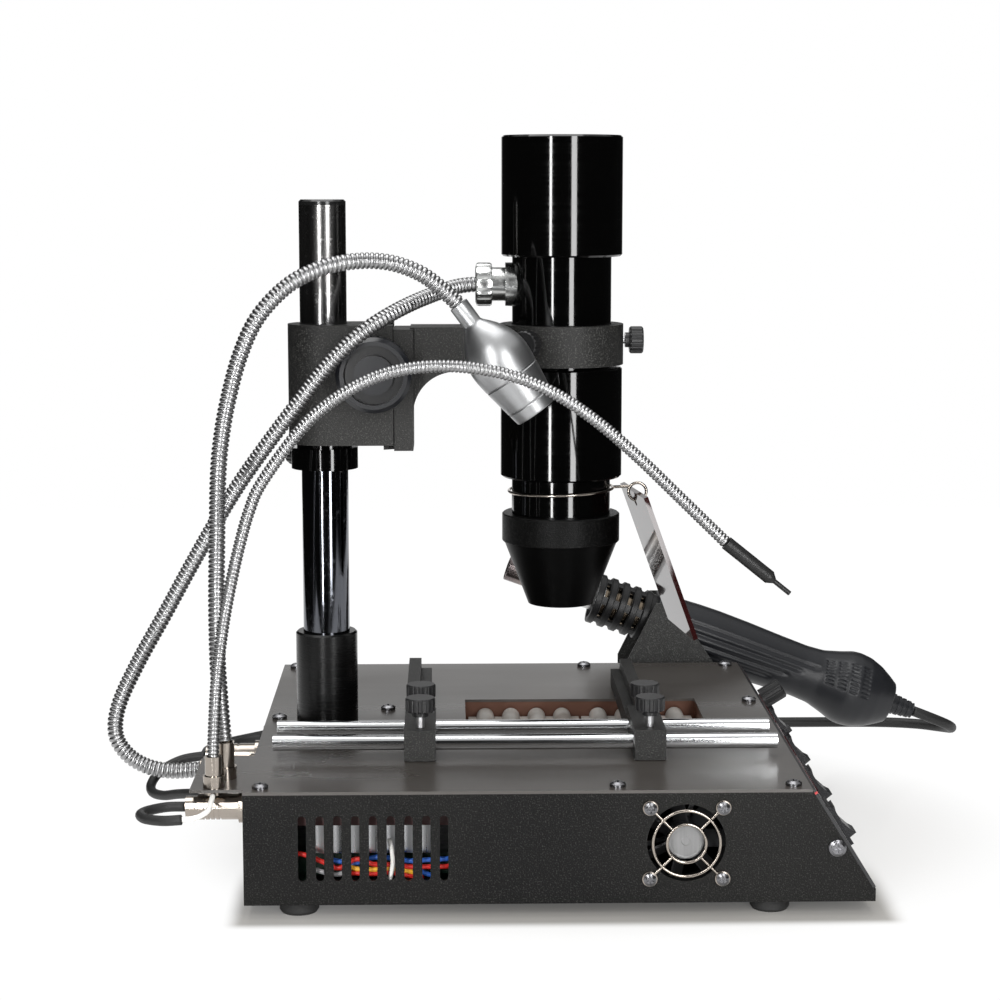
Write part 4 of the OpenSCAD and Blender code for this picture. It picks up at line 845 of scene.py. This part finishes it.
knob_black = moulded("knob_plastic", (0.007, 0.007, 0.0075), (0.013, 0.013, 0.0135), 0.42, 2400.0)
switch_black = moulded("switch_plastic", (0.010, 0.010, 0.011), (0.015, 0.015, 0.017), 0.28, 3000.0)
gun_black = moulded("gun_plastic", (0.010, 0.0105, 0.0122), (0.015, 0.0158, 0.0185), 0.36, 2600.0)
guard_black = moulded("guard_plastic", (0.005, 0.005, 0.0055), (0.009, 0.009, 0.0095), 0.4, 2600.0)
cord_rubber = moulded("cord_rubber", (0.013, 0.013, 0.013), (0.022, 0.022, 0.022), 0.5, 1800.0)
foot_rubber = moulded("foot_rubber", (0.012, 0.012, 0.012), (0.03, 0.03, 0.03), 0.65, 1200.0, 0.3)
wire_white = moulded("white_insulation", (0.62, 0.61, 0.58), (0.78, 0.77, 0.74), 0.5, 1800.0)
paint(knob_black, "collar_knob", "fan_frame", "fan_rotor", "airflow_knob", "mains_inlet")


def with_shank(name, is_shank):
    """A black moulded head on a steel shank. is_shank says, from a Finish, where the steel is."""
    f = Finish(name)
    steel = is_shank(f)
    dust = f.noise(30.0, 5.0)
    fine = f.noise(2400.0, 2.0)
    black = f.mix(dust, (0.006, 0.006, 0.0065), (0.012, 0.012, 0.0125))
    return f.set(Base_Color=f.mix(steel, black, (0.6, 0.6, 0.61)), Metallic=steel,
                 Roughness=f.spread(fine, 0.34, 0.46), Normal=f.bump(fine, 0.1, 0.0001))


paint(with_shank("jaw_screw_finish", lambda f: f.axis(2).below((78.4 + FOOT) / 1000)),
      "left_near_screw", "left_far_screw", "right_near_screw", "right_far_screw")
paint(with_shank("ring_screw_finish", lambda f: f.from_axis(HEAD, 0, 1).below(0.0342)),
      "ring_screw_1", "ring_screw_2", "ring_screw_3")
f = Finish("focus_knob_gloss")
PINION = at(61.3, 145, 248.5)
from_pinion = f.from_axis(PINION, 0, 2)
turned = f.rings(from_pinion, 1500.0)
# The ring between the centre disc and the rim is painted near black: painted shade in the groove.
groove_painted_shade = from_pinion.above(0.0102) * from_pinion.below(0.0156)
face = f.mix(turned, (0.0075, 0.008, 0.0098), (0.0088, 0.0094, 0.0115))
paint(f.set(Base_Color=f.mix(groove_painted_shade, face, (0.0015, 0.0015, 0.0018)),
            Roughness=f.spread(turned, 0.28, 0.3), Specular_IOR_Level=0.6), "focus_knobs")
paint(switch_black, "rocker_1", "rocker_2", "rocker_3", "rocker_4", "switch_bezels")
paint(moulded("probe_sleeve", (0.005, 0.005, 0.005), (0.009, 0.009, 0.009), 0.45, 900.0, 0.02), "probe_tip")
paint(gun_black, handle, relief)
paint(guard_black, guard_piece)
paint(cord_rubber, cords["probe_lead"], cords["lamp_lead"], cords["gun_cord"], tie)
paint(wire_white, cords["probe_wire"], *loom["cream"])
INSULATION = {
    "red": ((0.5, 0.012, 0.01), (0.66, 0.03, 0.02)),
    "yellow": ((0.75, 0.36, 0.02), (0.9, 0.5, 0.05)),
    "blue": ((0.015, 0.07, 0.35), (0.03, 0.13, 0.5)),
    "grey": ((0.3, 0.3, 0.31), (0.45, 0.45, 0.46)),
}
for colour, (dark, light) in INSULATION.items():
    paint(moulded(f"{colour}_insulation", dark, light, 0.38, 1800.0), *loom[colour])
paint(foot_rubber, "rubber_feet")
print("finishes", len(bpy.data.materials))

# %% [markdown]
# ## Heater, shield, lamp and the rest
# The lower heater is grey-white ribbed ceramic in a tray that heat has tinted copper brown. The
# shield is a dark red glossy sheet. The lamp is turned aluminium. The gun's nozzle is steel
# that heat has darkened near its mouth, and the tube inside the guard is browned all over.

# %% Special finishes
f = Finish("heater_ceramic")
stain = f.noise(35.0, 5.0)
ceramic = f.set(Base_Color=f.mix(f.level(stain, 0.35, 0.75), (0.34, 0.33, 0.31), (0.15, 0.125, 0.105)),
                Roughness=f.spread(stain, 0.35, 0.5), Normal=f.bump(f.noise(1500.0), 0.1, 0.0002))
f = Finish("heater_wall")
stain = f.noise(22.0, 6.0)
heater_wall = f.set(Base_Color=f.mix(stain, (0.09, 0.035, 0.022), (0.26, 0.14, 0.1)), Metallic=0.6,
                    Roughness=f.spread(stain, 0.32, 0.5))
f = Finish("shield_sheet")
speck = f.noise(60.0, 5.0)
shield_red = f.set(Base_Color=f.mix(speck, (0.012, 0.003, 0.003), (0.024, 0.005, 0.005)),
                   Roughness=f.spread(speck, 0.02, 0.05), Specular_IOR_Level=0.4)
f = Finish("display_window")
speck = f.noise(80.0, 3.0)
display_red = f.set(Base_Color=f.mix(speck, (0.03, 0.002, 0.003), (0.05, 0.004, 0.005)),
                    Roughness=f.spread(speck, 0.08, 0.16), Coat_Weight=0.5)
f = Finish("board_mask")
tracks = f.node("ShaderNodeTexBrick", {"offset": 0.5}, {"Vector": f.place(), "Scale": 90.0}, out=1)
board_green = f.set(Base_Color=f.mix(tracks, (0.004, 0.016, 0.009), (0.006, 0.026, 0.013)),
                    Roughness=f.spread(f.noise(200.0), 0.35, 0.5))
f = Finish("lamp_aluminium")
along_lamp = f.axis(0) * LAMP_DIR[0] + f.axis(2) * LAMP_DIR[2]
rings = f.rings(along_lamp, 2200.0)
lamp_metal = f.set(Base_Color=f.mix(rings, (0.4, 0.405, 0.41), (0.47, 0.475, 0.48)), Metallic=1.0,
                   Roughness=f.spread(rings, 0.37, 0.42))
f = Finish("lens_plastic")
cells = f.node("ShaderNodeTexVoronoi", {}, {"Vector": f.place(), "Scale": 260.0})
lens_clear = f.set(Base_Color=f.mix(cells, (0.75, 0.74, 0.68), (0.5, 0.5, 0.46)),
                   Roughness=f.level(cells, 0.0, 0.7, 0.1, 0.25), Coat_Weight=0.6)
f = Finish("gun_nozzle_steel")
along_gun = (f.axis(0) - GUN_TIP[0]) * GUN_DIR[0] + (f.axis(2) - GUN_TIP[2]) * GUN_DIR[2]
heat = f.ramp(f.level(along_gun, 0.0, 0.05), (0.0, (0.2, 0.17, 0.17)), (0.4, (0.42, 0.36, 0.31)),
              (1.0, (0.55, 0.55, 0.55)))
scuff = f.noise(120.0, 4.0)
paint(f.set(Base_Color=heat, Metallic=1.0, Roughness=f.spread(scuff, 0.22, 0.38)), nozzle_tube)
f = Finish("gun_heater_steel")
tint = f.noise(90.0, 4.0)
paint(f.set(Base_Color=f.mix(tint, (0.2, 0.15, 0.1), (0.32, 0.27, 0.21)), Metallic=1.0,
            Roughness=f.spread(tint, 0.16, 0.24)), heater_tube)
paint(lamp_metal, lamp_body)
paint(lens_clear, lamp_lens)
paint(ceramic, "heater_plates", "ir_lamp")
paint(heater_wall, "heater_tray")
paint(shield_red, "shield_plate")
paint(display_red, "display_windows")
paint(board_green, "control_board")
f = Finish("sink_aluminium")
pull = f.noise(500.0, 4.0, f.stretched((1.0, 1.0, 0.03)))
paint(f.set(Base_Color=f.mix(pull, (0.55, 0.56, 0.57), (0.75, 0.76, 0.77)), Metallic=1.0,
            Roughness=f.spread(pull, 0.22, 0.36)), sink)
f = Finish("strip_fibre")
weave = f.noise(300.0, 4.0)
paint(f.set(Base_Color=f.mix(weave, (0.02, 0.0025, 0.002), (0.045, 0.005, 0.004)),
            Roughness=f.spread(weave, 0.4, 0.6)), strip)
f = Finish("hub_foil")
brushed = f.noise(700.0, 4.0, f.stretched((1.0, 1.0, 0.05)))
paint(f.set(Base_Color=f.mix(brushed, (0.14, 0.14, 0.14), (0.3, 0.3, 0.3)), Metallic=0.7,
            Roughness=f.spread(brushed, 0.4, 0.55)), hub)
bare = [n for n, o in nodes.items() if not o.data.materials]
print("materials", len(bpy.data.materials), "unpainted", bare)

# %% [markdown]
# ## Studio
# The photograph has a white backdrop in a dark room, and two upright strip lights, one on each
# side of the camera, that draw the thin bright lines down the black tubes. The world is white
# to the camera everywhere. To reflections it is white where the backdrop stands and dark
# elsewhere, with a pale ceiling. To diffuse light it is one even level.

# %% World
ROOM, BACKDROP, CEILING, FILL = 0.012, 1.0, 0.7, 0.5
world = bpy.data.worlds.new("studio")
bpy.context.scene.world = world
world.use_nodes = True
world.node_tree.nodes.clear()
sky = Graph(world.node_tree)
seen = sky.node("ShaderNodeTexCoord", out=0)
behind = sky.node("ShaderNodeSeparateXYZ", sockets={0: seen}, out=1)
upward = sky.node("ShaderNodeSeparateXYZ", sockets={0: seen}, out=2)
wall = sky.level(behind, 0.93, 0.985, ROOM, BACKDROP)
ceiling = sky.level(upward, 0.5, 0.75, 0.0, CEILING)
to_camera, to_mirror, to_glass = sky.rays()
shiny = to_mirror.larger(to_glass)
strength = to_camera + (1 - to_camera) * (shiny * wall.larger(ceiling) + (1 - shiny) * FILL)
surface = sky.node("ShaderNodeBackground", sockets={"Color": (1, 1, 1, 1), "Strength": strength})
sky.node("ShaderNodeOutputWorld", sockets={"Surface": surface})
print("world nodes", len(sky.tree.nodes))

# %% [markdown]
# ## The bench top
# The station stands on a smooth white sheet. It keeps a soft shadow and a faint reflection of the feet, and
# otherwise fades into the backdrop, so part of its brightness is its own. Below the near wall a strip of
# the sheet is painted greyer and glows less: a painted reflection and shadow of the dark base.

# %% Floor
CORNERS = [(-0.7, -0.55, 0), (0.7, -0.55, 0), (0.7, 1.2, 0), (-0.7, 1.2, 0)]
floor = mesh_piece("bench_top", CORNERS, [[0, 1, 2, 3]], False)
f = Finish("bench_white")
to_camera, to_mirror, to_glass = f.rays()
soft = f.noise(2.0, 2.0)
# A strip below the near wall gets a grey colour and less glow: painted reflection and shadow of the base.
painted_base_reflection = f.level(f.axis(0), -0.196, -0.184) * f.level(f.axis(0), 0.142, 0.128)
painted_base_reflection = painted_base_reflection * f.level(f.axis(1), -0.19, -0.178) * f.level(f.axis(1), -0.07, -0.13)
white = f.mix(soft, (0.8, 0.79, 0.77), (0.86, 0.85, 0.83))
f.set(Base_Color=f.mix(painted_base_reflection, white, (0.36, 0.345, 0.32)), Roughness=f.spread(soft, 0.06, 0.1))
glow = f.node("ShaderNodeEmission", sockets={"Color": (1, 1, 1, 1), "Strength": 1.02})
away = ((f.axis(0) / 0.25) ** 2 + ((f.axis(1) + 0.02) / 0.22) ** 2) ** 0.5
share = (to_camera + to_mirror + to_glass) * f.level(away, 0.6, 1.0, 0.45, 1.0) * (1 - painted_base_reflection * 0.85)
sheet = f.node("ShaderNodeMixShader", sockets={0: share, 1: Flow(f, f.shader.outputs[0]), 2: glow})
f.tree.links.new(sheet.socket, f.tree.nodes["Material Output"].inputs[0])
paint(f.material, floor)
print("bench nodes", len(f.tree.nodes))

# %% [markdown]
# ## Lamps
# Two narrow strips stand on the bench in front of the station, just outside the picture. A big
# soft box hangs overhead for the top faces, and a low one lights the wall with the fan.

# %% Lamps


def soft_light(name, place, aim, size, power, mirrored=True):
    light = bpy.data.lights.new(name, "AREA")
    light.shape, light.size, light.size_y, light.energy = "RECTANGLE", size[0], size[1], power
    lamp = bpy.data.objects.new(name, light)
    bpy.context.scene.collection.objects.link(lamp)
    lamp.location = place
    lamp.rotation_euler = (Vector(aim) - Vector(place)).to_track_quat("-Z", "Y").to_euler()
    lamp.visible_camera = False
    lamp.visible_glossy = mirrored


HEAD_MIDDLE = (-0.0224, -0.0273, 0.32)
soft_light("left_strip", (-0.299, -0.67, 0.32), HEAD_MIDDLE, (0.05, 0.62), 3.0)
soft_light("right_strip", (0.211, -0.687, 0.32), HEAD_MIDDLE, (0.12, 0.62), 3.6)
soft_light("overhead_box", (-0.2, 0.1, 1.7), (0, 0, 0.1), (1.2, 1.2), 14)
soft_light("front_low", (0.1, -2.4, 0.6), (0, 0, 0.05), (1.4, 0.7), 8, False)
bpy.context.scene.view_settings.view_transform = "Standard"
print("lamps", len(bpy.data.lights))
